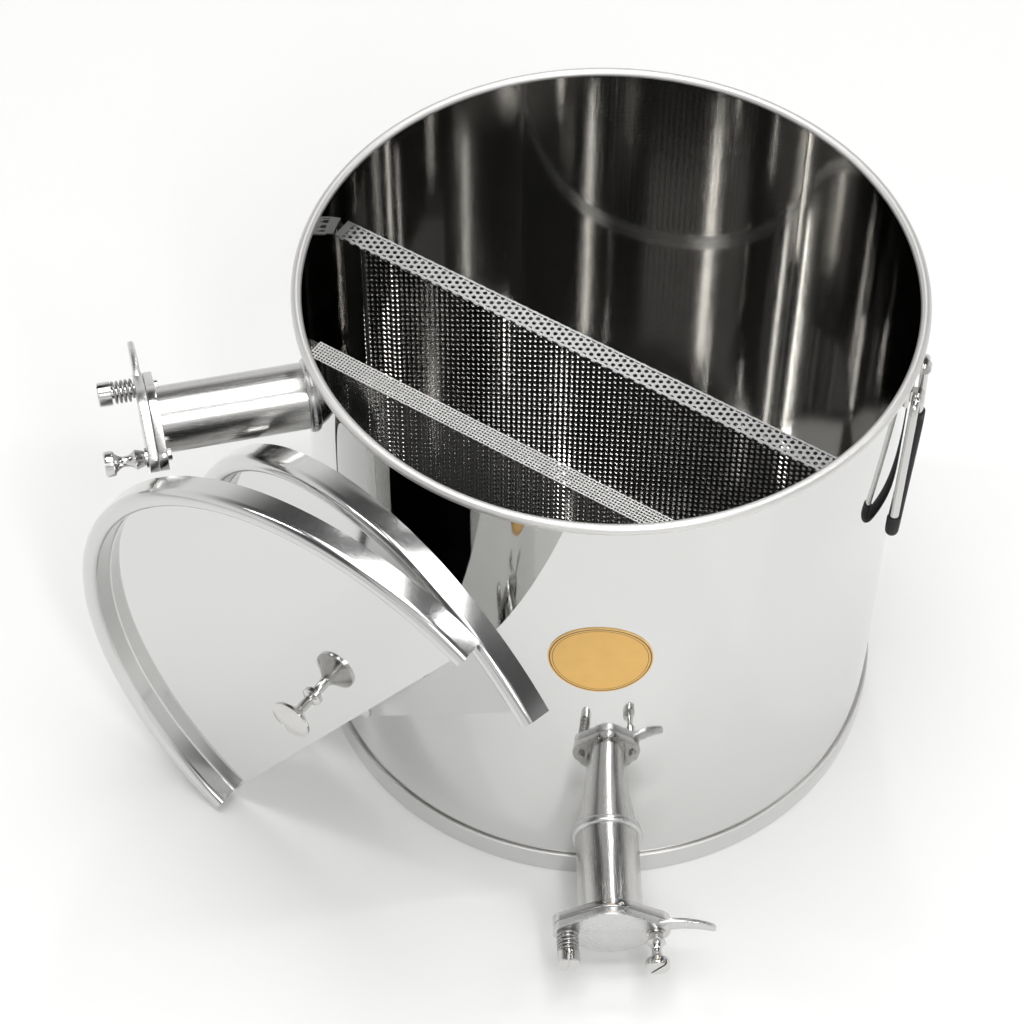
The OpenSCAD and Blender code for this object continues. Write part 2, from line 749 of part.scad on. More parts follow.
// A turned knob: base collar, hollowed neck and a crowned head
module lid_knob() {
    neck_l = lid_knob_head_z - lid_knob_base_h;
    flare = (lid_knob_base_d - lid_knob_neck_d) / 2;
    arc_r = (pow(neck_l / 2, 2) + pow(flare, 2)) / (2 * flare);
    crown_r = (pow(lid_knob_d / 2, 2) + pow(lid_knob_crown, 2)) / (2 * lid_knob_crown);
    color(STEEL) on_panel() difference() {
        rotate_extrude() {
            difference() {
                square([lid_knob_base_d / 2, lid_knob_head_z]);
                translate([lid_knob_neck_d / 2 + arc_r, lid_knob_base_h + neck_l / 2]) circle(arc_r);
            }
            translate([0, lid_knob_head_z]) square([lid_knob_d / 2, lid_knob_edge]);
            intersection() {
                translate([0, lid_knob_h - crown_r]) circle(crown_r);
                translate([0, lid_knob_head_z]) square([lid_knob_d / 2, lid_knob_h]);
            }
        }
        translate([0, 0, -overrun]) cylinder(d = lid_screw_d, h = lid_screw_l + overrun);
    }
}

module lid_screw() {
    color(STEEL) on_panel() difference() {
        union() {
            translate([0, 0, -lid_t]) cylinder(d = lid_screw_d, h = lid_t + lid_screw_l);
            translate([0, 0, -lid_t - lid_screw_head_h]) cylinder(d = lid_screw_head_d, h = lid_screw_head_h);
        }
        translate([0, 0, -lid_t - lid_screw_head_h]) rotate([180, 0, 0]) drive_slot(lid_screw_head_d, 0);
    }
}

module front_spout() { spout(0, front_flange_y, front_spout_z); }
module front_weld_collar() { weld_collar(0, front_spout_z); }
module front_flange() { on_front_flange() flange(); }
module front_pivot_screw() { on_front_flange() pivot_screw(); }
module front_pivot_spring() { on_front_flange() pivot_spring(); }
module front_gate_blade() { on_front_flange() gate_blade(1); }
module front_clamp_washer() { on_front_flange() clamp_washer(); }
module front_clamp_knob() { on_front_flange() clamp_knob(); }
module side_spout() { spout(-side_spout_turn, side_flange_y, side_spout_z); }
module side_weld_collar() { weld_collar(-side_spout_turn, side_spout_z); }
module side_flange() { on_side_flange() flange(); }
module side_pivot_screw() { on_side_flange() pivot_screw(); }
module side_pivot_spring() { on_side_flange() pivot_spring(); }
module side_gate_blade() { on_side_flange() gate_blade(-1); }
module side_clamp_washer() { on_side_flange() clamp_washer(); }
module side_clamp_knob() { on_side_flange() clamp_knob(); }
module coarse_guide_left() { guide(-1, coarse_offset, sheet_t); }
module coarse_guide_right() { guide(1, coarse_offset, sheet_t); }
module fine_guide_left() { guide(-1, fine_offset, sheet_t + frame_t); }
module fine_guide_right() { guide(1, fine_offset, sheet_t + frame_t); }
module right_handle_bracket() { handle_bracket(handle_turn); }
module right_handle_bail() { handle_bail(handle_turn); }
module right_handle_grip() { handle_grip(handle_turn); }
module left_handle_bracket() { handle_bracket(-left_handle_turn); }
module left_handle_bail() { handle_bail(-left_handle_turn); }
module left_handle_grip() { handle_grip(-left_handle_turn); }
module lid_front_panel() { on_front_lid() lid_panel(); }
module lid_front_knob() { on_front_lid() lid_knob(); }
module lid_front_screw() { on_front_lid() lid_screw(); }
module lid_back_panel() { on_back_lid() lid_panel(); }
module lid_back_knob() { on_back_lid() lid_knob(); }
module lid_back_screw() { on_back_lid() lid_screw(); }

tank_shell();
tank_floor();
base_ring();
label_disc();
front_spout();
front_weld_collar();
front_flange();
front_pivot_screw();
front_pivot_spring();
front_gate_blade();
front_clamp_washer();
front_clamp_knob();
side_spout();
side_weld_collar();
side_flange();
side_pivot_screw();
side_pivot_spring();
side_gate_blade();
side_clamp_washer();
side_clamp_knob();
coarse_guide_left();
coarse_guide_right();
fine_guide_left();
fine_guide_right();
coarse_screen();
fine_screen();
fine_screen_frame();
right_handle_bracket();
right_handle_bail();
right_handle_grip();
left_handle_bracket();
left_handle_bail();
left_handle_grip();
lid_front_panel();
lid_front_knob();
lid_front_screw();
lid_back_panel();
lid_back_knob();
lid_back_screw();
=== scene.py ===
"""Looks of a honey settling tank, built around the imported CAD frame. Metres, +Z up."""

import math

import bmesh
import bpy
from mathutils import Matrix, Vector


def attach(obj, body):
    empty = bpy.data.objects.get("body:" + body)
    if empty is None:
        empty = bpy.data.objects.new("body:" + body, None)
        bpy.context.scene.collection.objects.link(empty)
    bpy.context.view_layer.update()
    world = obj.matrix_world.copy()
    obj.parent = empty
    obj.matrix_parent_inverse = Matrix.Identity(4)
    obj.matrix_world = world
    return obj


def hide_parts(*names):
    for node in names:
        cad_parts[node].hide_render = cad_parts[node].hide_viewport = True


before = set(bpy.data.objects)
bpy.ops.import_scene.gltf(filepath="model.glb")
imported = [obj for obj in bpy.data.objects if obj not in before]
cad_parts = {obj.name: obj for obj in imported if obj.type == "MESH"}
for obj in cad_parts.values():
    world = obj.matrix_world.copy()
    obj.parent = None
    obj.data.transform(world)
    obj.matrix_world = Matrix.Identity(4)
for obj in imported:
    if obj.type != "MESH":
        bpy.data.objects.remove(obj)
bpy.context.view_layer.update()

# Tank
TANK_R = 0.200
WALL_R = 0.201
TANK_H = 0.390
BEAD_R = 0.0035
BASE_R = 0.2034
BASE_H = 0.020
BASE_T = 0.0015
BASE_LEDGE = 0.016
BASE_ROUND = 0.0008
BASE_SEAM_W = 0.0009
BASE_SEAM_DEPTH = 0.0012
LABEL_R = 0.034
LABEL_T = 0.0004
LABEL_GLUE = 0.0003
LABEL_Z = 0.251
LABEL_TURN = math.radians(-3)

# Spouts and gate valves, which share one frame: X right, Y up, Z out of the flange
SPOUT_R = 0.022
SPOUT_BORE_R = 0.0205
SPOUT_START = 0.190
SPOUT_TRIM = 0.05
COLLAR_R = 0.0245
COLLAR_L = 0.003
COLLAR_ROUND = 0.0022
FRONT_Z = 0.045
FRONT_FLANGE_Y = 0.267
SIDE_Z = 0.330
SIDE_FLANGE_Y = 0.299
SIDE_TURN = math.radians(-78)
FLANGE_R = 0.025
FLANGE_T = 0.006
EAR_X = 0.030
EAR_R = 0.010
BLADE_Z = 0.0063
BLADE_T = 0.006
SCREW_R = 0.004
SCREW_HOLE_R = 0.00405
SCREW_TAIL = 0.003
SLOT_R = 0.0046
# The slot for the clamp stud runs out of the blade along an arc about the pivot, in degrees
SLOT_RUN = 14
SPRING_Z = 0.0126
SPRING_L = 0.015
SPRING_R = 0.0068
SPRING_WIRE_R = 0.0009
SPRING_TURNS = 4.5
PIVOT_HEAD_Z = 0.0276
PIVOT_HEAD_R = 0.008
PIVOT_HEAD_L = 0.009
PIVOT_CHAMFER = 0.0008
PIVOT_SLOT_TURN = math.pi / 2
KNOB_Z = 0.0144
KNOB_SHOULDER_L = 0.006
KNOB_FOOT_R = 0.0048
KNOB_FLARE_R = 0.0066
KNOB_WAIST_R = 0.0034
KNOB_WAIST_L = 0.013
KNOB_HEAD_R = 0.0083
KNOB_HEAD_L = 0.007
KNOB_ROUND = 0.0018
KNOB_SLOT_TURN = math.radians(50)
DRIVE_SLOT_W = 0.0014
DRIVE_SLOT_DEPTH = 0.004
# The horn: how high its root lies on the ear, how far it bows, and its section, squarish and blunt at the tip
HORN_L = 0.041
HORN_RISE = 0.004
HORN_BOW = 0.019
HORN_ROOT_H = 0.0125
HORN_TIP_H = 0.0065
HORN_SKIN = 0.0002
HORN_THINNING_SHARE = 0.25
HORN_BLUNT_SHARE = 0.6
HORN_SQUARENESS = 0.72

# Screens, in a frame whose X runs along them and whose -Y points to the spouts
SCREEN_TURN = math.radians(-34.6)
SCREEN_TOP = 0.353
SCREEN_FOOT = 0.0218
SHEET_T = 0.001
COARSE_Y = -0.020
COARSE_HALF = 0.1962
COARSE_LIP_W = 0.0155
COARSE_LIP_HALF = 0.1962
COARSE_COLUMNS = 44
COARSE_ROWS = 66
COARSE_FIRST_ROW = 0.0075
COARSE_LIP_COLUMNS = 92
COARSE_LIP_ROWS = 3
COARSE_LIP_FIRST_ROW = 0.0021
HOLE_R = 0.0015
HOLE_PITCH = 0.00483
# The plain margins lap over the outer cells, and stand proud of them by a hair
MARGIN_LAP = 0.0014
MARGIN_TOP_LAP = 0.0001
MARGIN_PROUD = 0.00003
FINE_Y = -0.120
FINE_HALF = 0.1554
FINE_LIP_W = 0.0135
FINE_LIP_HALF = 0.1483
FINE_LIP_FOLD = 0.0006
WIRE_PITCH = 0.0022
WIRE_R = 0.00044
WIRE_OVER = 0.0002

# Handles
HANDLE_TURN = {"right": math.radians(74), "left": math.radians(-122)}
HANDLE_R = 0.2065
HANDLE_Z = 0.354
BAIL_R = 0.003
BAIL_TOP = 0.023
BAIL_BOTTOM = 0.053
BAIL_H = 0.097
BAIL_PIN_X = 0.0085
BAIL_BEND_R = 0.008
GRIP_R = 0.0045
GRIP_RISE = 0.016

# Half lids, in a frame whose X runs along the straight edge, Y to the arc and Z out of the face
LID_R = 0.210
LID_T = 0.001
LID_DEPTH = 0.011
LID_ARCH_R = 0.0055
LID_RIM_R = 0.2035
LID_CORNER_R = 0.0015
LID_KNOB_Y = 0.0275
LID_KNOB_H = 0.027
LID_KNOB_R = 0.0145
LID_KNOB_EDGE = 0.0025
LID_KNOB_CROWN = 0.003
LID_KNOB_ROUND = 0.0008
LID_KNOB_NECK_R = 0.0035
LID_KNOB_BASE_R = 0.007
LID_KNOB_BASE_H = 0.003
LID_CONE_Z = 0.0130
LID_CONE_CURVE = 1.35
# Turn, reach from the axis to its back, roll and shift of each lid, as it is set down beside the tank
LID_STANDS = {
    "lid_front": (math.radians(-36.1), 0.263275, math.radians(57.7), -0.03192),
    "lid_back": (math.radians(-49.5), 0.218, math.radians(47.5), 0.03801),
}
# Both lids slide this far along the back one, clear of the side valve
LID_SLIDE = 0.004053

# How finely round forms are made
FULL_TURN = 2 * math.pi
TANK_SIDES = 288
TUBE_SIDES = 96
TURNED_SIDES = 64
HOLE_SIDES = 40
LID_SIDES = 168
BAIL_SIDES = 24
GRIP_SIDES = 28
SPRING_SIDES = 12
CLOTH_SIDES = 4
LIP_CLOTH_SIDES = 8
EDGE_ROUND = 0.0004
SHARP = math.radians(32)
# Points this close are one, cells of a sheet join within this distance, and cutters overrun by this much
WELD = 1e-7
CELL_WELD = 1e-5
OVERRUN = 0.001


def srgb(code):
    """Linear RGBA from an sRGB hex value."""
    parts = [int(code[i:i + 2], 16) / 255 for i in (1, 3, 5)]
    return (*[c / 12.92 if c <= 0.04045 else ((c + 0.055) / 1.055) ** 2.4 for c in parts], 1)


def add_node(tree, kind, inputs=None, **settings):
    """A node with its settings; an input is a value, or the socket that feeds it."""
    made = tree.nodes.new(kind)
    for key, value in settings.items():
        setattr(made, key, value)
    for key, value in (inputs or {}).items():
        if isinstance(value, bpy.types.NodeSocket):
            tree.links.new(value, made.inputs[key])
        else:
            made.inputs[key].default_value = value
    return made


def maths(tree, operation, *values):
    """The result of one operation on values or sockets."""
    return add_node(tree, "ShaderNodeMath", dict(enumerate(values)), operation=operation).outputs["Value"]


# Materials


def start_material(name, color, metallic, roughness):
    """A material with its shader, and the Object coordinates that its patterns read."""
    material = bpy.data.materials.new(name)
    material.use_nodes = True
    tree = material.node_tree
    shader = tree.nodes["Principled BSDF"]
    shader.inputs["Base Color"].default_value = srgb(color)
    shader.inputs["Metallic"].default_value = metallic
    shader.inputs["Roughness"].default_value = roughness
    place = add_node(tree, "ShaderNodeTexCoord").outputs["Object"]
    return material, tree, shader, place


# Swells of sheet that isn't quite flat: how many to a metre, and how deep
SWELLS = 14.0
SWELL_DEPTH = 0.004


def steel(name, color, roughness, spread, grain_mm, bump, stretch=(1, 1, 1), turn=0.0, wave=0.0):
    """Stainless steel: a grain of a real width, stretched along one way, sets roughness and bump.

    A wave is the strength of slow swells.
    """
    material, tree, shader, place = start_material(name, color, 1.0, roughness)
    mapping = add_node(tree, "ShaderNodeMapping", {
        "Vector": place, "Rotation": (0, 0, turn), "Scale": stretch}, vector_type="TEXTURE")
    grain = add_node(tree, "ShaderNodeTexNoise", {
        "Vector": mapping.outputs["Vector"], "Scale": 1000 / grain_mm, "Detail": 4.0, "Roughness": 0.6})
    level = add_node(tree, "ShaderNodeMapRange", {
        "Value": grain.outputs["Fac"], "From Min": 0.3, "From Max": 0.7,
        "To Min": roughness - spread, "To Max": roughness + spread})
    tree.links.new(level.outputs["Result"], shader.inputs["Roughness"])
    normal = add_node(tree, "ShaderNodeBump", {
        "Height": grain.outputs["Fac"], "Strength": bump, "Distance": grain_mm / 1000}).outputs["Normal"]
    if wave:
        slow = add_node(tree, "ShaderNodeTexNoise", {"Vector": place, "Scale": SWELLS, "Detail": 1.0})
        normal = add_node(tree, "ShaderNodeBump", {
            "Height": slow.outputs["Fac"], "Strength": wave, "Distance": SWELL_DEPTH,
            "Normal": normal}).outputs["Normal"]
    tree.links.new(normal, shader.inputs["Normal"])
    return material


# Mirror-polished 304 sheet: clear reflections that waver a little where the sheet isn't quite flat
POLISHED_SHEET = steel("polished_stainless_sheet", "#D9D9D8", roughness=0.035, spread=0.012, grain_mm=0.3,
                       bump=0.001, stretch=(8, 8, 1), wave=0.012)
# The same sheet inside, unpolished but bright: a darker and slightly softer mirror
INNER_SHEET = steel("bright_stainless_inside", "#CECDCB", roughness=0.05, spread=0.015, grain_mm=0.4,
                    bump=0.001, stretch=(1, 1, 8), wave=0.010)
# The floor and channels inside, bright-rolled: clear but duller reflections
ROLLED_SHEET = steel("bright_rolled_stainless_floor", "#C0BFBD", roughness=0.06, spread=0.02, grain_mm=1.5,
                     bump=0.003, stretch=(1, 1, 10), wave=0.015)
# The rolled rim, dulled by the rolls: an even light grey with soft highlights
ROLLED_RIM = steel("satin_rolled_rim", "#DEDDDB", roughness=0.46, spread=0.05, grain_mm=0.6, bump=0.005)
# The pressed channel of the lids: polished, but softer where the press drew it
DRAWN_RIM = steel("drawn_stainless_rim", "#D3D3D2", roughness=0.16, spread=0.02, grain_mm=0.5,
                  bump=0.001, stretch=(6, 6, 1))
# Turned and polished stainless: small bright parts with faint turning lines
TURNED_STEEL = steel("turned_stainless", "#CFCECC", roughness=0.16, spread=0.05, grain_mm=0.8, bump=0.01)
# Cast and tumbled stainless: slightly pitted, soft highlights
CAST_STEEL = steel("tumbled_cast_stainless", "#CFCFCE", roughness=0.30, spread=0.05, grain_mm=1.8, bump=0.015)
# Drawn spring wire: greyer, fine die lines
SPRING_WIRE = steel("drawn_spring_wire", "#A9A8A6", roughness=0.26, spread=0.06, grain_mm=0.6, bump=0.02)
# Perforated stainless: bright between its holes
PERFORATED_SHEET = steel("perforated_stainless_sheet", "#A6A5A3", roughness=0.16, spread=0.04, grain_mm=0.9,
                         bump=0.01)
# Its folded lip and margins, a little matt from the press
PRESSED_SHEET = steel("pressed_perforated_stainless", "#B2B2B1", roughness=0.36, spread=0.06, grain_mm=0.9,
                      bump=0.02)
# Woven stainless wire cloth, its colour darkened as painted shade for the dark inside that it stands in and
# sees
SHADED_WIRE_CLOTH = steel("woven_stainless_wire", "#8C8B89", roughness=0.30, spread=0.06, grain_mm=0.5, bump=0.02)
# Its folded lip, the same cloth made much lighter as painted highlight for the light that each wire catches
# along its top
PAINTED_LIGHT_LIP_CLOTH = steel("painted_highlight_lip_wire", "#E4E3E1", roughness=0.50, spread=0.06, grain_mm=0.5,
                  bump=0.02)


def tube_steel(name, turn):
    """Welded tube, polished lengthwise, so that its highlights run along it."""
    return steel("satin_stainless_tube_" + name, "#CBCAC8", roughness=0.25, spread=0.05, grain_mm=0.7,
                 bump=0.004, stretch=(1, 40, 1), turn=turn)


def grip_rubber():
    """Black dipped sleeve: matt, with a fine moulded grain of 0.6 mm."""
    material, tree, shader, place = start_material("black_sleeve_rubber", "#131314", 0.0, 0.62)
    grain = add_node(tree, "ShaderNodeTexVoronoi", {"Vector": place, "Scale": 1000 / 0.6})
    bump = add_node(tree, "ShaderNodeBump", {
        "Height": grain.outputs["Distance"], "Strength": 0.25, "Distance": 0.0003})
    tree.links.new(bump.outputs["Normal"], shader.inputs["Normal"])
    worn = add_node(tree, "ShaderNodeTexNoise", {"Vector": place, "Scale": 60.0, "Detail": 3.0})
    tint = add_node(tree, "ShaderNodeMix", {
        "Factor": worn.outputs["Fac"], "A": srgb("#0F0F10"), "B": srgb("#1E1E20")}, data_type="RGBA")
    tree.links.new(tint.outputs["Result"], shader.inputs["Base Color"])
    return material


def label_film():
    """Amber printed disc: satin film with a thin double outline, its print a little uneven."""
    material, tree, shader, place = start_material("amber_label_film", "#E3B25E", 0.0, 0.42)
    centred = add_node(tree, "ShaderNodeMapping", {
        "Vector": place, "Rotation": (0, 0, -LABEL_TURN), "Location": (0, 0, -LABEL_Z)})
    flat = add_node(tree, "ShaderNodeVectorMath", {
        0: centred.outputs["Vector"], 1: (1, 0, 1)}, operation="MULTIPLY")
    reach = add_node(tree, "ShaderNodeVectorMath", {0: flat.outputs["Vector"]}, operation="LENGTH")
    ramp = add_node(tree, "ShaderNodeValToRGB", {
        "Fac": maths(tree, "DIVIDE", reach.outputs["Value"], LABEL_R)})
    amber, ink, pale = srgb("#E6B662"), srgb("#5A3A14"), srgb("#EBC177")
    ramp.color_ramp.interpolation = "CONSTANT"
    for at, color in ((0.902, ink), (0.914, amber), (0.948, ink), (0.972, pale)):
        ramp.color_ramp.elements.new(at).color = color
    ramp.color_ramp.elements[0].color = amber
    ramp.color_ramp.elements[-1].color = pale
    cloud = add_node(tree, "ShaderNodeTexNoise", {"Vector": place, "Scale": 90.0, "Detail": 5.0})
    shade = add_node(tree, "ShaderNodeMapRange", {
        "Value": cloud.outputs["Fac"], "To Min": 0.90, "To Max": 1.08})
    tint = add_node(tree, "ShaderNodeVectorMath", {
        0: ramp.outputs["Color"], "Scale": shade.outputs["Result"]}, operation="SCALE")
    tree.links.new(tint.outputs["Vector"], shader.inputs["Base Color"])
    return material


GRIP_RUBBER = grip_rubber()
LABEL_FILM = label_film()


# Making pieces


def second_finish(piece, material, chosen):
    """Gives the faces that a test picks a finish of their own."""
    piece.data.materials.append(material)
    for face in piece.data.polygons:
        if chosen(face):
            face.material_index = 1


def finish_piece(mesh, name, material, body, replaced=()):
    """Links a finished mesh as a piece that rides on a body and stands for some CAD nodes."""
    mesh.materials.clear()
    mesh.materials.append(material)
    mesh.polygons.foreach_set("use_smooth", [True] * len(mesh.polygons))
    mesh.set_sharp_from_angle(angle=SHARP)
    made = bpy.data.objects.new(name, mesh)
    bpy.context.scene.collection.objects.link(made)
    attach(made, body)
    if replaced:
        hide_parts(*replaced)
    return made


def on_wall(turn, reach, z):
    """A frame on the tank's wall: X to the right seen from outside, Y up, Z outwards."""
    return (Matrix.Rotation(turn, 4, "Z") @ Matrix.Translation((0, -reach, z))
            @ Matrix.Rotation(math.pi / 2, 4, "X"))


def arc_points(centre, radius, start, end, steps):
    """Points along an arc in a plane, angles in degrees."""
    angles = [math.radians(start + (end - start) * k / steps) for k in range(steps + 1)]
    return [(centre[0] + radius * math.cos(a), centre[1] + radius * math.sin(a)) for a in angles]


def to_mesh(form):
    mesh = bpy.data.meshes.new("form")
    form.to_mesh(mesh)
    form.free()
    return mesh


def closed(form, place, weld=True):
    """Ends a form: welds its seams where it has any, turns its faces outwards and puts it in place."""
    if weld:
        bmesh.ops.remove_doubles(form, verts=form.verts, dist=WELD)
    bmesh.ops.recalc_face_normals(form, faces=form.faces)
    form.transform(place)
    return to_mesh(form)


def from_mesh(mesh):
    form = bmesh.new()
    form.from_mesh(mesh)
    return form


def bridge(form, here, there):
    """Joins two closed loops of points by a band of faces."""
    for k in range(len(here)):
        n = (k + 1) % len(here)
        form.faces.new((here[k], here[n], there[n], there[k]))


def turned(profile, place, segments, sweep=FULL_TURN):
    """A mesh from a closed profile of (radius, height), turned about the frame's Z."""
    whole = sweep >= FULL_TURN
    count = segments if whole else segments + 1
    angles = [sweep * k / segments for k in range(count)]
    form = bmesh.new()
    rings = [[form.verts.new((r * math.cos(a), r * math.sin(a), z)) for r, z in profile] for a in angles]
    size = len(profile)
    for i in range(segments):
        here, there = rings[i], rings[(i + 1) % count]
        for j in range(size):
            k = (j + 1) % size
            if profile[j][0] > 0 or profile[k][0] > 0:
                form.faces.new((here[j], there[j], there[k], here[k]))
    if not whole:
        form.faces.new(rings[0])
        form.faces.new(rings[-1][::-1])
    return closed(form, place)


def rod(radius, low, high, place, segments):
    return turned([(0, low), (radius, low), (radius, high), (0, high)], place, segments)


def blocks(boxes, place):
    """Plain strips given by their low and high corners."""
    form = bmesh.new()
    for low, high in boxes:
        v = [form.verts.new((x, y, z)) for x in (low[0], high[0]) for y in (low[1], high[1])
             for z in (low[2], high[2])]
        for f in ((0, 1, 3, 2), (4, 6, 7, 5), (0, 4, 5, 1), (2, 3, 7, 6), (0, 2, 6, 4), (1, 5, 7, 3)):
            form.faces.new([v[k] for k in f])
    return closed(form, place, weld=False)


def evaluated(mesh, *modifiers):
    """The mesh after some modifiers, each given as its kind and settings."""
    holder = bpy.data.objects.new("holder", mesh)
    bpy.context.scene.collection.objects.link(holder)
    for kind, settings in modifiers:
        modifier = holder.modifiers.new(kind.lower(), kind)
        for key, value in settings.items():
            if kind == "NODES" and key != "node_group":
                modifier[key] = value
            else:
                setattr(modifier, key, value)
    made = bpy.data.meshes.new_from_object(holder.evaluated_get(bpy.context.evaluated_depsgraph_get()))
    holder.modifiers.clear()
    bpy.data.objects.remove(holder)
    return made


def cut_away(mesh, *cutters):
    """The mesh less some other closed meshes."""
    holders = []
    for cutter in cutters:
        holder = bpy.data.objects.new("cutter", cutter)
        bpy.context.scene.collection.objects.link(holder)
        holders.append(holder)
    steps = [("BOOLEAN", {"operation": "DIFFERENCE", "solver": "EXACT", "object": h}) for h in holders]
    made = evaluated(mesh, *steps)
    for holder in holders:
        bpy.data.objects.remove(holder)
    return made


def joined(*meshes):
    """Several meshes as one."""
    form = bmesh.new()
    for mesh in meshes:
        form.from_mesh(mesh)
    return to_mesh(form)


# Geometry Nodes groups, each a tree with the identifiers of its inputs


def start_group(name, start, inputs, result):
    """A new tree, the identifiers of its inputs, and their sockets inside it."""
    tree = bpy.data.node_groups.new(name, "GeometryNodeTree")
    tree.interface.new_socket(start, in_out="INPUT", socket_type="NodeSocketGeometry")
    names = {key: tree.interface.new_socket(key, in_out="INPUT", socket_type="NodeSocket" + kind).identifier
             for key, kind in inputs.items()}
    tree.interface.new_socket(result, in_out="OUTPUT", socket_type="NodeSocketGeometry")
    return tree, names, tree.nodes.new("NodeGroupInput").outputs


def end_group(tree, geometry, finish, result):
    """Ends a tree with real geometry in the finish that it is given."""
    plain = add_node(tree, "GeometryNodeRealizeInstances", {"Geometry": geometry})
    dressed = add_node(tree, "GeometryNodeSetMaterial", {
        "Geometry": plain.outputs["Geometry"], "Material": finish})
    add_node(tree, "NodeGroupOutput", {result: dressed.outputs["Geometry"]})


def swept(tree, path, sides, radius):
    """Round bars with closed ends along lines of edges."""
    line = add_node(tree, "GeometryNodeMeshToCurve", {"Mesh": path})
    section = add_node(tree, "GeometryNodeCurvePrimitiveCircle", {"Resolution": sides, "Radius": radius})
    return add_node(tree, "GeometryNodeCurveToMesh", {
        "Curve": line.outputs["Curve"], "Profile Curve": section.outputs["Curve"],
        "Fill Caps": True}).outputs["Mesh"]


def run_group(mesh, group, values):
    """What a group makes of a mesh."""
    tree, names = group
    return evaluated(mesh, ("NODES", {
        "node_group": tree, **{names[key]: value for key, value in values.items()}}))


def bar_group():
    """Turns a line of edges into a round bar."""
    tree, names, given = start_group("round_bar", "Path", {
        "Bar Radius": "Float", "Bar Sides": "Int", "Finish": "Material"}, "Bar")
    bar = swept(tree, given["Path"], given["Bar Sides"], given["Bar Radius"])
    end_group(tree, bar, given["Finish"], "Bar")
    return tree, names


def perforation_group():
    """Sets the cells of a perforated sheet in staggered columns."""
    tree, names, given = start_group("perforated_sheet", "Cell", {
        "Columns": "Int", "Rows": "Int", "Hole Pitch": "Float", "Finish": "Material"}, "Sheet")
    spots = add_node(tree, "GeometryNodePoints", {
        "Count": maths(tree, "MULTIPLY", given["Columns"], given["Rows"])})
    number = add_node(tree, "GeometryNodeInputIndex").outputs["Index"]
    column = maths(tree, "FLOOR", maths(tree, "DIVIDE", number, given["Rows"]))
    row = maths(tree, "MODULO", number, given["Rows"])
    up = maths(tree, "MULTIPLY_ADD", maths(tree, "MODULO", column, 2.0), 0.5, row)
    along = maths(tree, "MULTIPLY", column, math.sqrt(3) / 2)
    spot = add_node(tree, "ShaderNodeCombineXYZ", {"X": along, "Y": up})
    spot = add_node(tree, "ShaderNodeVectorMath", {
        0: spot.outputs["Vector"], "Scale": given["Hole Pitch"]}, operation="SCALE")
    placed = add_node(tree, "GeometryNodeSetPosition", {
        "Geometry": spots.outputs["Points"], "Position": spot.outputs["Vector"]})
    cells = add_node(tree, "GeometryNodeInstanceOnPoints", {
        "Points": placed.outputs["Geometry"], "Instance": given["Cell"]})
    plain = add_node(tree, "GeometryNodeRealizeInstances", {"Geometry": cells.outputs["Instances"]})
    whole = add_node(tree, "GeometryNodeMergeByDistance", {
        "Geometry": plain.outputs["Geometry"], "Distance": CELL_WELD})
    end_group(tree, whole.outputs["Geometry"], given["Finish"], "Sheet")
    return tree, names


def weave_group():
    """Lays wires side by side, each waved over and under the ones that cross it."""
    tree, names, given = start_group("woven_wires", "Start", {
        "Wires": "Int", "Crossings": "Int", "Wire Pitch": "Float", "Wire Radius": "Float",
        "Wire Sides": "Int", "Over": "Float", "Finish": "Material"}, "Cloth")
    pitch = given["Wire Pitch"]
    number = add_node(tree, "GeometryNodeInputIndex").outputs["Index"]
    aside = add_node(tree, "ShaderNodeCombineXYZ", {"X": maths(tree, "MULTIPLY", number, pitch)})
    starts = add_node(tree, "GeometryNodePoints", {"Count": given["Wires"]})
    starts = add_node(tree, "GeometryNodeSetPosition", {
        "Geometry": starts.outputs["Points"], "Position": aside.outputs["Vector"]})
    step = add_node(tree, "ShaderNodeCombineXYZ", {"Y": pitch}).outputs["Vector"]
    wire = add_node(tree, "GeometryNodeMeshLine", {"Count": given["Crossings"], "Offset": step})
    laid = add_node(tree, "GeometryNodeInstanceOnPoints", {
        "Points": starts.outputs["Geometry"], "Instance": wire.outputs["Mesh"]})
    laid = add_node(tree, "GeometryNodeRealizeInstances", {"Geometry": laid.outputs["Instances"]})
    spot = add_node(tree, "ShaderNodeSeparateXYZ", {
        "Vector": add_node(tree, "GeometryNodeInputPosition").outputs["Position"]}).outputs
    turns = maths(tree, "DIVIDE", maths(tree, "ADD", spot["X"], spot["Y"]), pitch)
    swing = maths(tree, "COSINE", maths(tree, "MULTIPLY", turns, math.pi))
    lift = add_node(tree, "ShaderNodeCombineXYZ", {"Z": maths(tree, "MULTIPLY", swing, given["Over"])})
    waved = add_node(tree, "GeometryNodeSetPosition", {
        "Geometry": laid.outputs["Geometry"], "Offset": lift.outputs["Vector"]})
    cloth = swept(tree, waved.outputs["Geometry"], given["Wire Sides"], given["Wire Radius"])
    end_group(tree, cloth, given["Finish"], "Cloth")
    return tree, names


BAR = bar_group()
PERFORATION = perforation_group()
WEAVE = weave_group()


# Tank


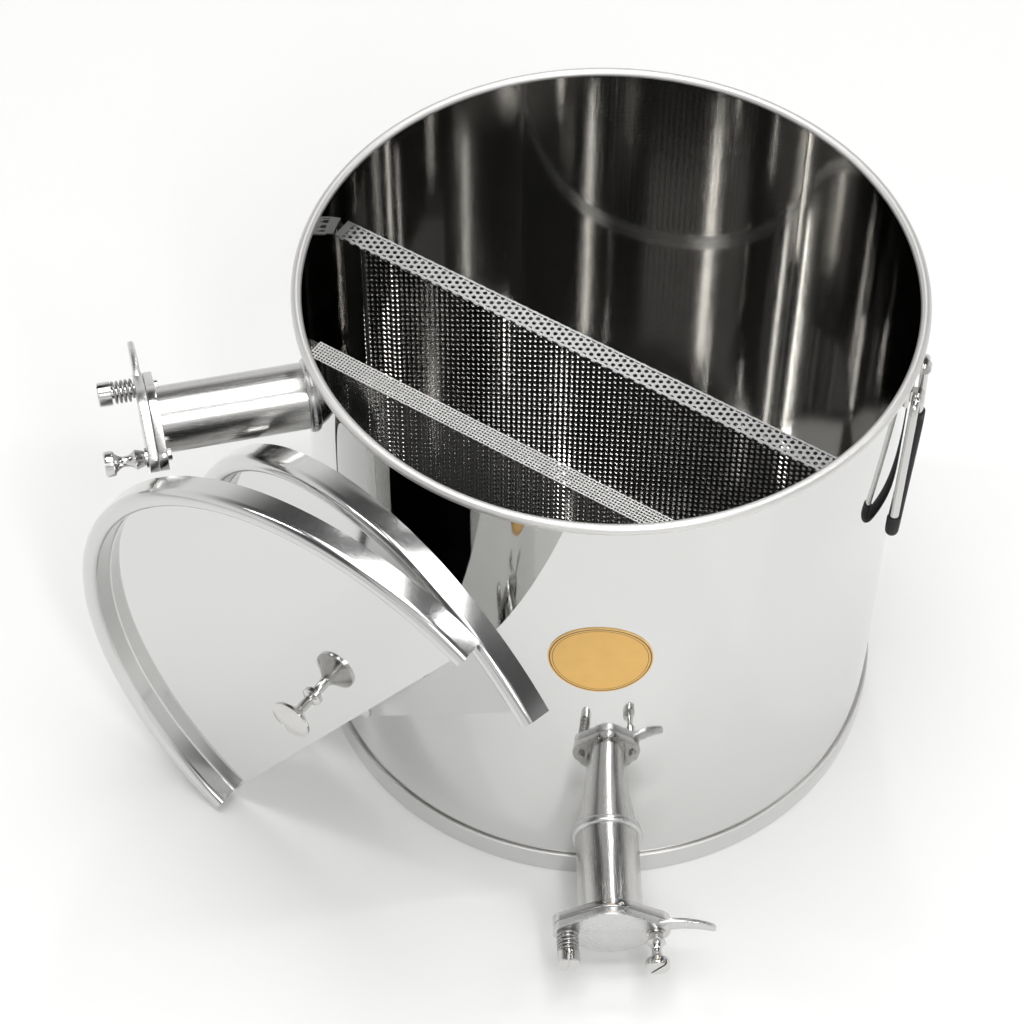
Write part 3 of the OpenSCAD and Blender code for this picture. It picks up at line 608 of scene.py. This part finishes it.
def tank_wall():
    bead = (TANK_R + BEAD_R, TANK_H - BEAD_R)
    profile = [(WALL_R, BASE_H), (WALL_R, bead[1]), (TANK_R, bead[1]), (TANK_R, BASE_H)]
    wall = turned(profile, Matrix(), TANK_SIDES)
    holes = [rod(SPOUT_R, 0, reach, on_wall(turn, 0, z), TUBE_SIDES)
             for turn, reach, z in ((0, FRONT_FLANGE_Y, FRONT_Z), (SIDE_TURN, SIDE_FLANGE_Y, SIDE_Z))]
    made = finish_piece(cut_away(wall, *holes), "tank_wall", POLISHED_SHEET, "tank",
                        ["tank_shell"])
    second_finish(made, INNER_SHEET, lambda face: face.normal.xy.dot(face.center.xy) < -TANK_R / 2)
    rim = turned(arc_points(bead, BEAD_R, 0, 360, 40)[:-1], Matrix(), TANK_SIDES)
    finish_piece(rim, "rolled_rim", ROLLED_RIM, "tank")


def base_skirt():
    """A skirt with a foot and a ledge turned in, and a fine groove where it meets the wall."""
    inner, round_r = BASE_R - BASE_LEDGE, BASE_R - BASE_ROUND
    seam_r, seam_z = WALL_R + BASE_SEAM_W, BASE_H - BASE_SEAM_DEPTH
    profile = [
        (inner, 0), *arc_points((round_r, BASE_ROUND), BASE_ROUND, 270, 360, 5),
        *arc_points((round_r, BASE_H - BASE_ROUND), BASE_ROUND, 0, 90, 5),
        (seam_r, BASE_H), (seam_r, seam_z), (WALL_R, seam_z), (WALL_R, BASE_H), (inner, BASE_H),
        (inner, BASE_H - BASE_T), (BASE_R - BASE_T, BASE_H - BASE_T), (BASE_R - BASE_T, BASE_T),
        (inner, BASE_T),
    ]
    made = finish_piece(turned(profile, Matrix(), TANK_SIDES), "base_skirt", POLISHED_SHEET, "tank",
                        ["base_ring"])
    upward = 0.3
    second_finish(made, ROLLED_RIM, lambda face: face.normal.z > upward and face.center.z > BASE_H / 2)


def label():
    """A disc bent to the wall, thin at its edge."""
    steps, sides = 12, 72
    form = bmesh.new()
    edges = []
    for height in (WALL_R + LABEL_GLUE + LABEL_T, WALL_R):
        rings = []
        for i in range(steps + 1):
            spots = arc_points((0, 0), LABEL_R * i / steps, 0, 360, sides)[:-1]
            rings.append([form.verts.new((x, y, math.sqrt(height ** 2 - x ** 2))) for x, y in spots])
        for here, there in zip(rings, rings[1:]):
            bridge(form, here, there)
        edges.append(rings[-1])
    bridge(form, *edges)
    disc = closed(form, on_wall(LABEL_TURN, 0, LABEL_Z))
    finish_piece(disc, "round_label", LABEL_FILM, "tank", ["label_disc"])


# Gate valves


def spout_tube(name, turn, reach, z):
    """A tube trimmed to the inside of the tank, and the weld bead around it."""
    place = on_wall(turn, 0, z)
    profile = [(SPOUT_R, SPOUT_START), (SPOUT_R, reach), (SPOUT_BORE_R, reach), (SPOUT_BORE_R, SPOUT_START)]
    tube = turned(profile, place, TUBE_SIDES)
    inside, wall = (rod(r, z - SPOUT_TRIM, z + SPOUT_TRIM, Matrix(), TANK_SIDES) for r in (TANK_R, WALL_R))
    finish_piece(cut_away(tube, inside), name + "_spout_tube", tube_steel(name, turn), "tank",
                 [name + "_spout"])
    round_z = WALL_R + COLLAR_L - COLLAR_ROUND
    bead = [(SPOUT_R, SPOUT_START), (COLLAR_R, SPOUT_START), (COLLAR_R, round_z),
            *arc_points((COLLAR_R - COLLAR_ROUND, round_z), COLLAR_ROUND, 10, 90, 6),
            (SPOUT_R, WALL_R + COLLAR_L)]
    finish_piece(cut_away(turned(bead, place, TUBE_SIDES), wall), name + "_weld_bead", CAST_STEEL, "tank",
                 [name + "_weld_collar"])


def rhomb_outline():
    """The rounded rhomb of flange and blade: a round middle and two ears joined by tangents."""
    lean = math.degrees(math.acos((FLANGE_R - EAR_R) / EAR_X))
    return (arc_points((EAR_X, 0), EAR_R, -lean, lean, 20)
            + arc_points((0, 0), FLANGE_R, lean, 180 - lean, 16)
            + arc_points((-EAR_X, 0), EAR_R, 180 - lean, 180 + lean, 20)
            + arc_points((0, 0), FLANGE_R, 180 + lean, 360 - lean, 16))


def ring_outline(x, radius, steps=HOLE_SIDES):
    return arc_points((x, 0), radius, 0, 360, steps)[:-1]


def plate(outlines, low, thick, place):
    """A flat plate with rounded edges, from its outline and the outlines of its holes."""
    curve = bpy.data.curves.new("plate", "CURVE")
    curve.dimensions = "2D"
    curve.fill_mode = "BOTH"
    curve.extrude = thick / 2 - EDGE_ROUND
    curve.bevel_depth = EDGE_ROUND
    curve.bevel_resolution = 2
    curve.offset = -EDGE_ROUND
    for outline in outlines:
        spline = curve.splines.new("POLY")
        spline.points.add(len(outline) - 1)
        spline.points.foreach_set("co", [c for x, y in outline for c in (x, y, 0, 1)])
        spline.use_cyclic_u = True
    holder = bpy.data.objects.new("plate", curve)
    bpy.context.scene.collection.objects.link(holder)
    mesh = bpy.data.meshes.new_from_object(holder.evaluated_get(bpy.context.evaluated_depsgraph_get()))
    bpy.data.objects.remove(holder)
    return closed(from_mesh(mesh), place @ Matrix.Translation((0, 0, low + thick / 2)))


def drive_slot(radius, top, turn, place):
    """What a screwdriver slot takes out of a screw's head."""
    half_w = DRIVE_SLOT_W / 2
    low, high = (-2 * radius, -half_w, top - DRIVE_SLOT_DEPTH), (2 * radius, half_w, top + OVERRUN)
    return blocks([(low, high)], place @ Matrix.Rotation(turn, 4, "Z"))


# The stud that both screws share, from its middle out
STUD = [(0, -SCREW_TAIL), (SCREW_R - EDGE_ROUND, -SCREW_TAIL), (SCREW_R, EDGE_ROUND - SCREW_TAIL)]


def pivot_screw(name, place):
    here = place @ Matrix.Translation((-EAR_X, 0, 0))
    top = PIVOT_HEAD_Z + PIVOT_HEAD_L
    profile = [*STUD, (SCREW_R, PIVOT_HEAD_Z), (PIVOT_HEAD_R - EDGE_ROUND, PIVOT_HEAD_Z),
               (PIVOT_HEAD_R, PIVOT_HEAD_Z + EDGE_ROUND), (PIVOT_HEAD_R, top - PIVOT_CHAMFER),
               (PIVOT_HEAD_R - PIVOT_CHAMFER, top), (0, top)]
    slot = drive_slot(PIVOT_HEAD_R, top, PIVOT_SLOT_TURN, here)
    screw = cut_away(turned(profile, here, TURNED_SIDES), slot)
    finish_piece(screw, name + "_pivot_screw_turned", TURNED_STEEL, "tank",
                 [name + "_pivot_screw"])


def clamp_knob(name, place):
    """A stud, a shoulder, a waist cut to an arc, and a rounded head."""
    here = place @ Matrix.Translation((EAR_X, 0, 0))
    flare_z = KNOB_Z + KNOB_SHOULDER_L
    head_z = flare_z + KNOB_WAIST_L
    top = head_z + KNOB_HEAD_L
    cut = KNOB_FLARE_R - KNOB_WAIST_R
    arc_r = ((KNOB_WAIST_L / 2) ** 2 + cut ** 2) / (2 * cut)
    half = math.degrees(math.asin(KNOB_WAIST_L / 2 / arc_r))
    waist = arc_points((KNOB_WAIST_R + arc_r, flare_z + KNOB_WAIST_L / 2), arc_r, 180 + half, 180 - half, 14)
    round_r = KNOB_HEAD_R - KNOB_ROUND
    profile = [*STUD, (SCREW_R, KNOB_Z), (KNOB_FOOT_R, KNOB_Z), *waist,
               *arc_points((round_r, head_z + KNOB_ROUND), KNOB_ROUND, 280, 360, 6),
               *arc_points((round_r, top - KNOB_ROUND), KNOB_ROUND, 0, 90, 6), (0, top)]
    slot = drive_slot(KNOB_HEAD_R, top, KNOB_SLOT_TURN, here)
    knob = cut_away(turned(profile, here, TURNED_SIDES), slot)
    finish_piece(knob, name + "_clamp_knob_turned", TURNED_STEEL, name + "_clamp",
                 [name + "_clamp_knob"])


def horn(side, place):
    """A cast tusk with a rounded section, bowed and tapered to its tip."""
    steps, sides = 22, 14
    form = bmesh.new()
    rings = []
    for i in range(steps + 1):
        t = i / steps
        blunt = 1 if i < steps else HORN_BLUNT_SHARE
        x = side * (EAR_X + HORN_L * t)
        y = HORN_RISE * (1 - t) + HORN_BOW * t * (1 - t)
        tall = (HORN_ROOT_H * (1 - t) + HORN_TIP_H * t) / 2 * blunt
        deep = (BLADE_T / 2 - HORN_SKIN) * (1 - HORN_THINNING_SHARE * t) * blunt
        ring = []
        for c, s in arc_points((0, 0), 1, 0, 360, sides)[:-1]:
            c, s = (math.copysign(abs(v) ** HORN_SQUARENESS, v) for v in (c, s))
            ring.append(form.verts.new((x, y + tall * c, BLADE_Z + BLADE_T / 2 + deep * s)))
        rings.append(ring)
    for here, there in zip(rings, rings[1:]):
        bridge(form, here, there)
    form.faces.new(rings[0])
    form.faces.new(rings[-1][::-1])
    return closed(form, place, weld=False)


def gate_blade(name, place, horn_side):
    """A plate with its horn, the hole for the pivot, and the slot that lets go of the clamp stud."""
    pivot = (-EAR_X, 0)
    whole = plate([rhomb_outline(), ring_outline(-EAR_X, SCREW_HOLE_R)], BLADE_Z, BLADE_T, place)
    way = [*arc_points(pivot, 2 * EAR_X + SLOT_R, -SLOT_RUN, 0, 10),
           *arc_points((EAR_X, 0), SLOT_R, 0, 180, 16)[1:-1],
           *arc_points(pivot, 2 * EAR_X - SLOT_R, 0, -SLOT_RUN, 10)]
    form = bmesh.new()
    under, over = BLADE_Z - OVERRUN, BLADE_Z + BLADE_T + OVERRUN
    low, high = ([form.verts.new((x, y, z)) for x, y in way] for z in (under, over))
    form.faces.new(low)
    form.faces.new(high)
    bridge(form, low, high)
    slot_cut = closed(form, place, weld=False)
    pivot_cut = rod(SCREW_HOLE_R, under, over, place @ Matrix.Translation((*pivot, 0)), HOLE_SIDES)
    blade = joined(cut_away(whole, slot_cut), cut_away(horn(horn_side, place), slot_cut.copy(), pivot_cut))
    finish_piece(blade, name + "_blade_cast", CAST_STEEL, name + "_gate",
                 [name + "_gate_blade"])


def gate_flange(name, place):
    outlines = [rhomb_outline(), ring_outline(0, SPOUT_BORE_R, 64), ring_outline(-EAR_X, SCREW_R),
                ring_outline(EAR_X, SCREW_HOLE_R)]
    finish_piece(plate(outlines, 0, FLANGE_T, place), name + "_flange_plate", TURNED_STEEL, "tank",
                 [name + "_flange"])


def round_bar(points, radius, sides, material, place):
    mesh = bpy.data.meshes.new("path")
    mesh.from_pydata([place @ Vector(p) for p in points], [(i, i + 1) for i in range(len(points) - 1)], [])
    made = run_group(mesh, BAR, {"Bar Radius": radius, "Bar Sides": sides, "Finish": material})
    return closed(from_mesh(made), Matrix())


def pivot_spring(name, place):
    per_turn = 24
    climb = (SPRING_L - 2 * SPRING_WIRE_R) / SPRING_TURNS
    points = []
    for k in range(int(SPRING_TURNS * per_turn) + 1):
        turn = k / per_turn
        a = FULL_TURN * turn
        points.append((SPRING_R * math.cos(a) - EAR_X, SPRING_R * math.sin(a),
                       SPRING_Z + SPRING_WIRE_R + climb * turn))
    coil = round_bar(points, SPRING_WIRE_R, SPRING_SIDES, SPRING_WIRE, place)
    finish_piece(coil, name + "_spring_coil", SPRING_WIRE, "tank", [name + "_pivot_spring"])


# Handles


def bent_path(corners, bend_r, steps=10):
    """A line through corners in a plane, each rounded."""
    path = [corners[0]]
    for before, corner, after in zip(corners, corners[1:], corners[2:]):
        here = Vector(corner)
        back, on = (Vector(before) - here).normalized(), (Vector(after) - here).normalized()
        opening = back.angle(on)
        trim = bend_r / math.tan(opening / 2)
        centre = here + (back + on).normalized() * bend_r / math.sin(opening / 2)
        start, end = here + back * trim - centre, here + on * trim - centre
        whole = start.angle(end)
        for k in range(steps + 1):
            t = k / steps
            spot = centre + (start * math.sin((1 - t) * whole) + end * math.sin(t * whole)) / math.sin(whole)
            path.append((spot.x, spot.y, 0))
    return path + [corners[-1]]


def drop_handle(side):
    """A wire bail, and the sleeve along its foot and a little way up its legs."""
    place = on_wall(HANDLE_TURN[side], HANDLE_R, HANDLE_Z)
    corners = [(-BAIL_PIN_X, 0, 0), (-BAIL_TOP, 0, 0), (-BAIL_BOTTOM, -BAIL_H, 0), (BAIL_BOTTOM, -BAIL_H, 0),
               (BAIL_TOP, 0, 0), (BAIL_PIN_X, 0, 0)]
    body = side + "_handle"
    bail = round_bar(bent_path(corners, BAIL_BEND_R), BAIL_R, BAIL_SIDES, TURNED_STEEL, place)
    finish_piece(bail, body + "_wire", TURNED_STEEL, body, [body + "_bail"])
    low, up = Vector(corners[2]), Vector(corners[1])
    rise = low + (up - low).normalized() * GRIP_RISE
    ends = [tuple(rise), corners[2], corners[3], (-rise.x, rise.y, 0)]
    sleeve = round_bar(bent_path(ends, BAIL_BEND_R), GRIP_R, GRIP_SIDES, GRIP_RUBBER, place)
    finish_piece(sleeve, body + "_sleeve", GRIP_RUBBER, body, [body + "_grip"])


# Screens


def on_screen(y, z, lying):
    """A frame on a screen: X along it, Y up the sheet, or out along its lip where it lies flat."""
    pose = Matrix.Rotation(math.pi, 4, "Z") if lying else Matrix.Rotation(math.pi / 2, 4, "X")
    return Matrix.Rotation(SCREEN_TURN, 4, "Z") @ Matrix.Translation((0, y, z)) @ pose


def hole_tile():
    """The six-sided cell around one hole, the sheet's thickness deep."""
    form = bmesh.new()
    corners, sides = 6, 10
    cell = HOLE_PITCH / math.sqrt(3)
    holes = []
    for z in (-SHEET_T / 2, SHEET_T / 2):
        outer, inner = ([form.verts.new((x, y, z)) for x, y in arc_points((0, 0), radius, 0, 360, count)[:-1]]
                        for radius, count in ((cell, corners), (HOLE_R, sides)))
        holes.append(inner)
        o = i = 0
        while o < corners or i < sides:
            if i >= sides or (o < corners and (o + 1) / corners <= (i + 1) / sides):
                form.faces.new((outer[o % corners], outer[(o + 1) % corners], inner[i % sides]))
                o += 1
            else:
                form.faces.new((outer[o % corners], inner[(i + 1) % sides], inner[i % sides]))
                i += 1
    bridge(form, *holes)
    bmesh.ops.recalc_face_normals(form, faces=form.faces)
    # The cell is open at its six sides, so each face is turned by hand: up, down, or into the hole
    for face in form.faces:
        middle = face.calc_center_median()
        flat = abs(face.normal.z) > 0.5
        if (flat and face.normal.z * middle.z < 0) or (not flat and face.normal.xy.dot(middle.xy) > 0):
            face.normal_flip()
    return to_mesh(form)


def perforated(columns, rows, place):
    made = run_group(hole_tile(), PERFORATION, {
        "Columns": columns, "Rows": rows, "Hole Pitch": HOLE_PITCH, "Finish": PERFORATED_SHEET})
    made.transform(place)
    return made


def coarse_screen():
    """Perforated face in two halves, perforated lip, and the plain margins of the sheet."""
    step = HOLE_PITCH * math.sqrt(3) / 2
    half_w = COARSE_COLUMNS * step
    first = SCREEN_FOOT + COARSE_FIRST_ROW
    face = on_screen(COARSE_Y - SHEET_T / 2, first, False)
    for name, x in (("left", step / 2 - half_w), ("right", step / 2)):
        half = perforated(COARSE_COLUMNS, COARSE_ROWS, face @ Matrix.Translation((x, 0, 0)))
        finish_piece(half, "coarse_face_" + name, PERFORATED_SHEET, "coarse_screen",
                     ["coarse_screen"])
    lip = on_screen(COARSE_Y, SCREEN_TOP - SHEET_T / 2, True)
    lip = lip @ Matrix.Translation(((0.5 - COARSE_LIP_COLUMNS / 2) * step, COARSE_LIP_FIRST_ROW, 0))
    finish_piece(perforated(COARSE_LIP_COLUMNS, COARSE_LIP_ROWS, lip), "coarse_lip", PRESSED_SHEET,
                 "coarse_screen")
    front, back = COARSE_Y - SHEET_T - MARGIN_PROUD, COARSE_Y + MARGIN_PROUD
    edge = half_w - MARGIN_LAP
    ridge = first + (COARSE_ROWS - 0.5) * HOLE_PITCH - MARGIN_TOP_LAP
    bend = SCREEN_TOP - SHEET_T
    top, under = SCREEN_TOP + MARGIN_PROUD, bend - MARGIN_PROUD
    lip_out = COARSE_Y - COARSE_LIP_W
    lip_edge = COARSE_LIP_COLUMNS / 2 * step - MARGIN_LAP
    margins = [((-COARSE_HALF, front, SCREEN_FOOT), (-edge, back, bend)),
               ((edge, front, SCREEN_FOOT), (COARSE_HALF, back, bend)),
               ((-edge, front, SCREEN_FOOT), (edge, back, first)),
               ((-edge, front, ridge), (edge, back, bend)),
               ((-lip_edge, COARSE_Y - MARGIN_LAP, under), (lip_edge, back, top)),
               ((-lip_edge, lip_out, under), (lip_edge, lip_out + MARGIN_LAP, top)),
               ((-COARSE_LIP_HALF, lip_out, under), (-lip_edge, back, top)),
               ((lip_edge, lip_out, under), (COARSE_LIP_HALF, back, top))]
    finish_piece(blocks(margins, Matrix.Rotation(SCREEN_TURN, 4, "Z")), "coarse_margins", PRESSED_SHEET,
                 "coarse_screen")


def wires(count, crossings, over, place, sides=CLOTH_SIDES):
    made = run_group(bpy.data.meshes.new("start"), WEAVE, {
        "Wires": count, "Crossings": crossings, "Wire Pitch": WIRE_PITCH, "Wire Radius": WIRE_R,
        "Wire Sides": sides, "Over": over, "Finish": SHADED_WIRE_CLOTH})
    # Put in place first, because some places mirror the wires
    made.transform(place)
    return closed(from_mesh(made), Matrix(), weld=False)


def fine_screen():
    """Wire cloth: uprights, cross wires, and the lip folded from the same cloth."""
    swap = Matrix(((0, 1, 0, 0), (1, 0, 0, 0), (0, 0, 1, 0), (0, 0, 0, 1)))
    across = int(2 * FINE_HALF / WIRE_PITCH)
    up = int((SCREEN_TOP - SCREEN_FOOT) / WIRE_PITCH)
    face = on_screen(FINE_Y - SHEET_T / 2, SCREEN_FOOT + WIRE_R, False)
    face = face @ Matrix.Translation((-(across - 1) * WIRE_PITCH / 2, 0, 0))
    # The face takes the cloth whose colour is darkened as painted shade
    finish_piece(wires(across, up, WIRE_OVER, face), "fine_uprights", SHADED_WIRE_CLOTH, "fine_screen",
                 ["fine_screen"])
    finish_piece(wires(up, across, -WIRE_OVER, face @ swap), "fine_cross_wires", SHADED_WIRE_CLOTH, "fine_screen")
    lip_across = int(2 * FINE_LIP_HALF / WIRE_PITCH)
    lip_out = round(FINE_LIP_W / WIRE_PITCH) + 1
    lip = on_screen(FINE_Y - FINE_LIP_FOLD, SCREEN_TOP - SHEET_T / 2, True)
    lip = lip @ Matrix.Translation((-(lip_across - 1) * WIRE_PITCH / 2, 0, 0))
    cloth = joined(wires(lip_across, lip_out, WIRE_OVER, lip, LIP_CLOTH_SIDES),
                   wires(lip_out, lip_across, -WIRE_OVER, lip @ swap, LIP_CLOTH_SIDES))
    # The lip takes the lighter copy of the cloth, its colour painted highlight
    finish_piece(cloth, "fine_lip", PAINTED_LIGHT_LIP_CLOTH, "fine_screen")


# Half lids


def on_lid(name):
    """The frame of a lid, standing on its edge beside the tank."""
    turn, reach, roll, shift = LID_STANDS[name]
    slide_turn = LID_STANDS["lid_back"][0]
    return (Matrix.Translation((LID_SLIDE * math.cos(slide_turn), LID_SLIDE * math.sin(slide_turn), 0))
            @ Matrix.Rotation(turn, 4, "Z")
            @ Matrix.Translation((shift, -reach - LID_DEPTH - LID_T, LID_R * math.sin(roll)))
            @ Matrix.Rotation(math.pi / 2, 4, "X") @ Matrix.Rotation(roll, 4, "Z"))


def lid_tray(name, place):
    """A half disc of sheet with a channel pressed along its arc."""
    rim = (LID_RIM_R, 0)
    inner = LID_RIM_R - LID_ARCH_R - LID_T
    corner_r = inner - LID_CORNER_R
    foot = -LID_DEPTH - LID_T
    profile = [(0, -LID_DEPTH), *arc_points((corner_r, LID_CORNER_R - LID_DEPTH), LID_CORNER_R, 270, 360, 5),
               *arc_points(rim, LID_ARCH_R + LID_T, 180, 0, 18), (LID_R, foot), (LID_R - LID_T, foot),
               *arc_points(rim, LID_ARCH_R, 0, 180, 18), (inner + LID_T, foot), (0, foot)]
    made = finish_piece(turned(profile, place, LID_SIDES, math.pi), name + "_tray", POLISHED_SHEET, name,
                        [name + "_panel"])
    to_lid = place.inverted()
    second_finish(made, DRAWN_RIM, lambda face: (to_lid @ face.center).xy.length > corner_r)


def lid_knob(name, place):
    """A collar, a slim neck, a cone and a crowned head."""
    head_z = LID_KNOB_H - LID_KNOB_CROWN - LID_KNOB_EDGE
    crown_r = (LID_KNOB_R ** 2 + LID_KNOB_CROWN ** 2) / (2 * LID_KNOB_CROWN)
    lean = math.degrees(math.asin(LID_KNOB_R / crown_r))
    soft, collar, steps = LID_KNOB_ROUND, LID_KNOB_BASE_H / 2, 12
    cone_h, cone_w = head_z - LID_CONE_Z, LID_KNOB_R - soft - LID_KNOB_NECK_R
    cone = [(LID_KNOB_NECK_R + cone_w * (k / steps) ** LID_CONE_CURVE, LID_CONE_Z + cone_h * k / steps)
            for k in range(steps)]
    profile = [(0, 0), (LID_KNOB_BASE_R, 0), (LID_KNOB_BASE_R, collar),
               (LID_KNOB_BASE_R - soft, collar + soft), (LID_KNOB_NECK_R + soft, LID_KNOB_BASE_H),
               (LID_KNOB_NECK_R, LID_KNOB_BASE_H + soft), *cone,
               *arc_points((LID_KNOB_R - soft, head_z + soft), soft, 285, 360, 4),
               *arc_points((0, LID_KNOB_H - crown_r), crown_r, 90 - lean, 90, 14)]
    on_panel = place @ Matrix.Translation((0, LID_KNOB_Y, -LID_DEPTH))
    finish_piece(turned(profile, on_panel, TURNED_SIDES), name + "_knob_turned", TURNED_STEEL, name,
                 [name + "_knob"])


tank_wall()
base_skirt()
label()
# Turn, reach of the flange, height, and the side that the horn is on
VALVES = {
    "front": (0, FRONT_FLANGE_Y, FRONT_Z, 1),
    "side": (SIDE_TURN, SIDE_FLANGE_Y, SIDE_Z, -1),
}
for valve, (turn, reach, z, horn_side) in VALVES.items():
    valve_place = on_wall(turn, reach, z)
    spout_tube(valve, turn, reach, z)
    gate_flange(valve, valve_place)
    gate_blade(valve, valve_place, horn_side)
    pivot_screw(valve, valve_place)
    pivot_spring(valve, valve_place)
    clamp_knob(valve, valve_place)
coarse_screen()
fine_screen()
for handle_side in HANDLE_TURN:
    drop_handle(handle_side)
for lid in LID_STANDS:
    lid_place = on_lid(lid)
    lid_tray(lid, lid_place)
    lid_knob(lid, lid_place)

# CAD nodes that stay as they are, with their finish
KEPT = {
    "tank_floor": ROLLED_SHEET,
    "coarse_guide_left": ROLLED_SHEET, "coarse_guide_right": ROLLED_SHEET,
    "fine_guide_left": ROLLED_SHEET, "fine_guide_right": ROLLED_SHEET,
    "fine_screen_frame": ROLLED_SHEET,
    "front_clamp_washer": TURNED_STEEL, "side_clamp_washer": TURNED_STEEL,
    "right_handle_bracket": TURNED_STEEL, "left_handle_bracket": TURNED_STEEL,
    "lid_front_screw": TURNED_STEEL, "lid_back_screw": TURNED_STEEL,
}
for kept, finish in KEPT.items():
    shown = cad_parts[kept]
    shown.data.materials.clear()
    shown.data.materials.append(finish)

# Studio: a pale floor, a wide light overhead, a panel in front, upright strips all round, and a room that is
# bright low down and straight overhead, and dark between


def floor():
    form = bmesh.new()
    bmesh.ops.create_grid(form, x_segments=1, y_segments=1, size=6)
    mesh = to_mesh(form)
    material, tree, shader, place = start_material("white_studio_floor", "#F4F4F3", 0.0, 0.9)
    grain = add_node(tree, "ShaderNodeTexNoise", {"Vector": place, "Scale": 3.0})
    tint = add_node(tree, "ShaderNodeMix", {
        "Factor": grain.outputs["Fac"], "A": srgb("#F3F3F2"), "B": srgb("#F6F6F5")}, data_type="RGBA")
    tree.links.new(tint.outputs["Result"], shader.inputs["Base Color"])
    mesh.materials.append(material)
    made = bpy.data.objects.new("studio_floor", mesh)
    bpy.context.scene.collection.objects.link(made)


def room():
    """The room's light, by the height of the direction that it comes from."""
    world = bpy.data.worlds.new("studio_room")
    world.use_nodes = True
    tree = world.node_tree
    way = add_node(tree, "ShaderNodeTexCoord").outputs["Generated"]
    height = add_node(tree, "ShaderNodeSeparateXYZ", {"Vector": way}).outputs["Z"]
    ramp = add_node(tree, "ShaderNodeValToRGB", {"Fac": height})
    levels = ((0.0, 0.95), (0.30, 0.85), (0.48, 0.35), (0.60, 0.075), (0.90, 0.075), (0.97, 0.8))
    ramp.color_ramp.elements[0].color = (levels[0][1],) * 3 + (1,)
    ramp.color_ramp.elements[1].color = (1, 1, 1, 1)
    for at, level in levels[1:]:
        ramp.color_ramp.elements.new(at).color = (level, level, level, 1)
    tree.links.new(ramp.outputs["Color"], tree.nodes["Background"].inputs["Color"])
    bpy.context.scene.world = world


def soft_light(name, spot, aim, size, power):
    light = bpy.data.lights.new(name, "AREA")
    light.shape = "RECTANGLE"
    light.size, light.size_y = size
    light.energy = power
    made = bpy.data.objects.new(name, light)
    made.location = spot
    made.rotation_euler = (Vector(aim) - Vector(spot)).to_track_quat("-Z", "Y").to_euler()
    made.visible_camera = False
    bpy.context.scene.collection.objects.link(made)


floor()
room()
soft_light("overhead_softbox", (0, 0.1, 4.0), (0, 0, 0), (2.6, 2.6), 84)
soft_light("front_panel", (0, -2.4, 2.7), (0, 0, 0.1), (4.2, 1.8), 15)
# Upright strips at the height from which light comes back out of the tank: azimuth, width and power
STRIPS = {"back": (88, 0.14, 8), "left": (170, 0.13, 12), "front": (284, 0.26, 22), "right": (4, 0.13, 12)}
STRIP_L = 1.3
STRIP_REACH = 2.4
STRIP_Z = 2.8
STRIP_AIM = (0, 0, 0.2)
for strip, (azimuth, width, power) in STRIPS.items():
    turn = math.radians(azimuth)
    spot = (STRIP_REACH * math.cos(turn), STRIP_REACH * math.sin(turn), STRIP_Z)
    soft_light(strip + "_strip", spot, STRIP_AIM, (width, STRIP_L), power)

# Camera, solved from the photograph's rim and base
CAMERA_SPOT = (-0.0933, -1.2707, 1.7077)
CAMERA_PITCH = 0.8845
CAMERA_HEADING = -0.0239
CAMERA_ROLL = 0.0070
CAMERA_LENS_MM = 99.35
CAMERA_SENSOR_MM = 36
lens = bpy.data.cameras.new("photo_camera")
lens.lens = CAMERA_LENS_MM
lens.sensor_width = CAMERA_SENSOR_MM
camera = bpy.data.objects.new("photo_camera", lens)
camera.matrix_world = (Matrix.Translation(CAMERA_SPOT) @ Matrix.Rotation(CAMERA_HEADING, 4, "Z")
                       @ Matrix.Rotation(math.pi / 2 - CAMERA_PITCH, 4, "X")
                       @ Matrix.Rotation(CAMERA_ROLL, 4, "Z"))
bpy.context.scene.collection.objects.link(camera)
bpy.context.scene.camera = camera
bpy.context.scene.view_settings.view_transform = "Standard"
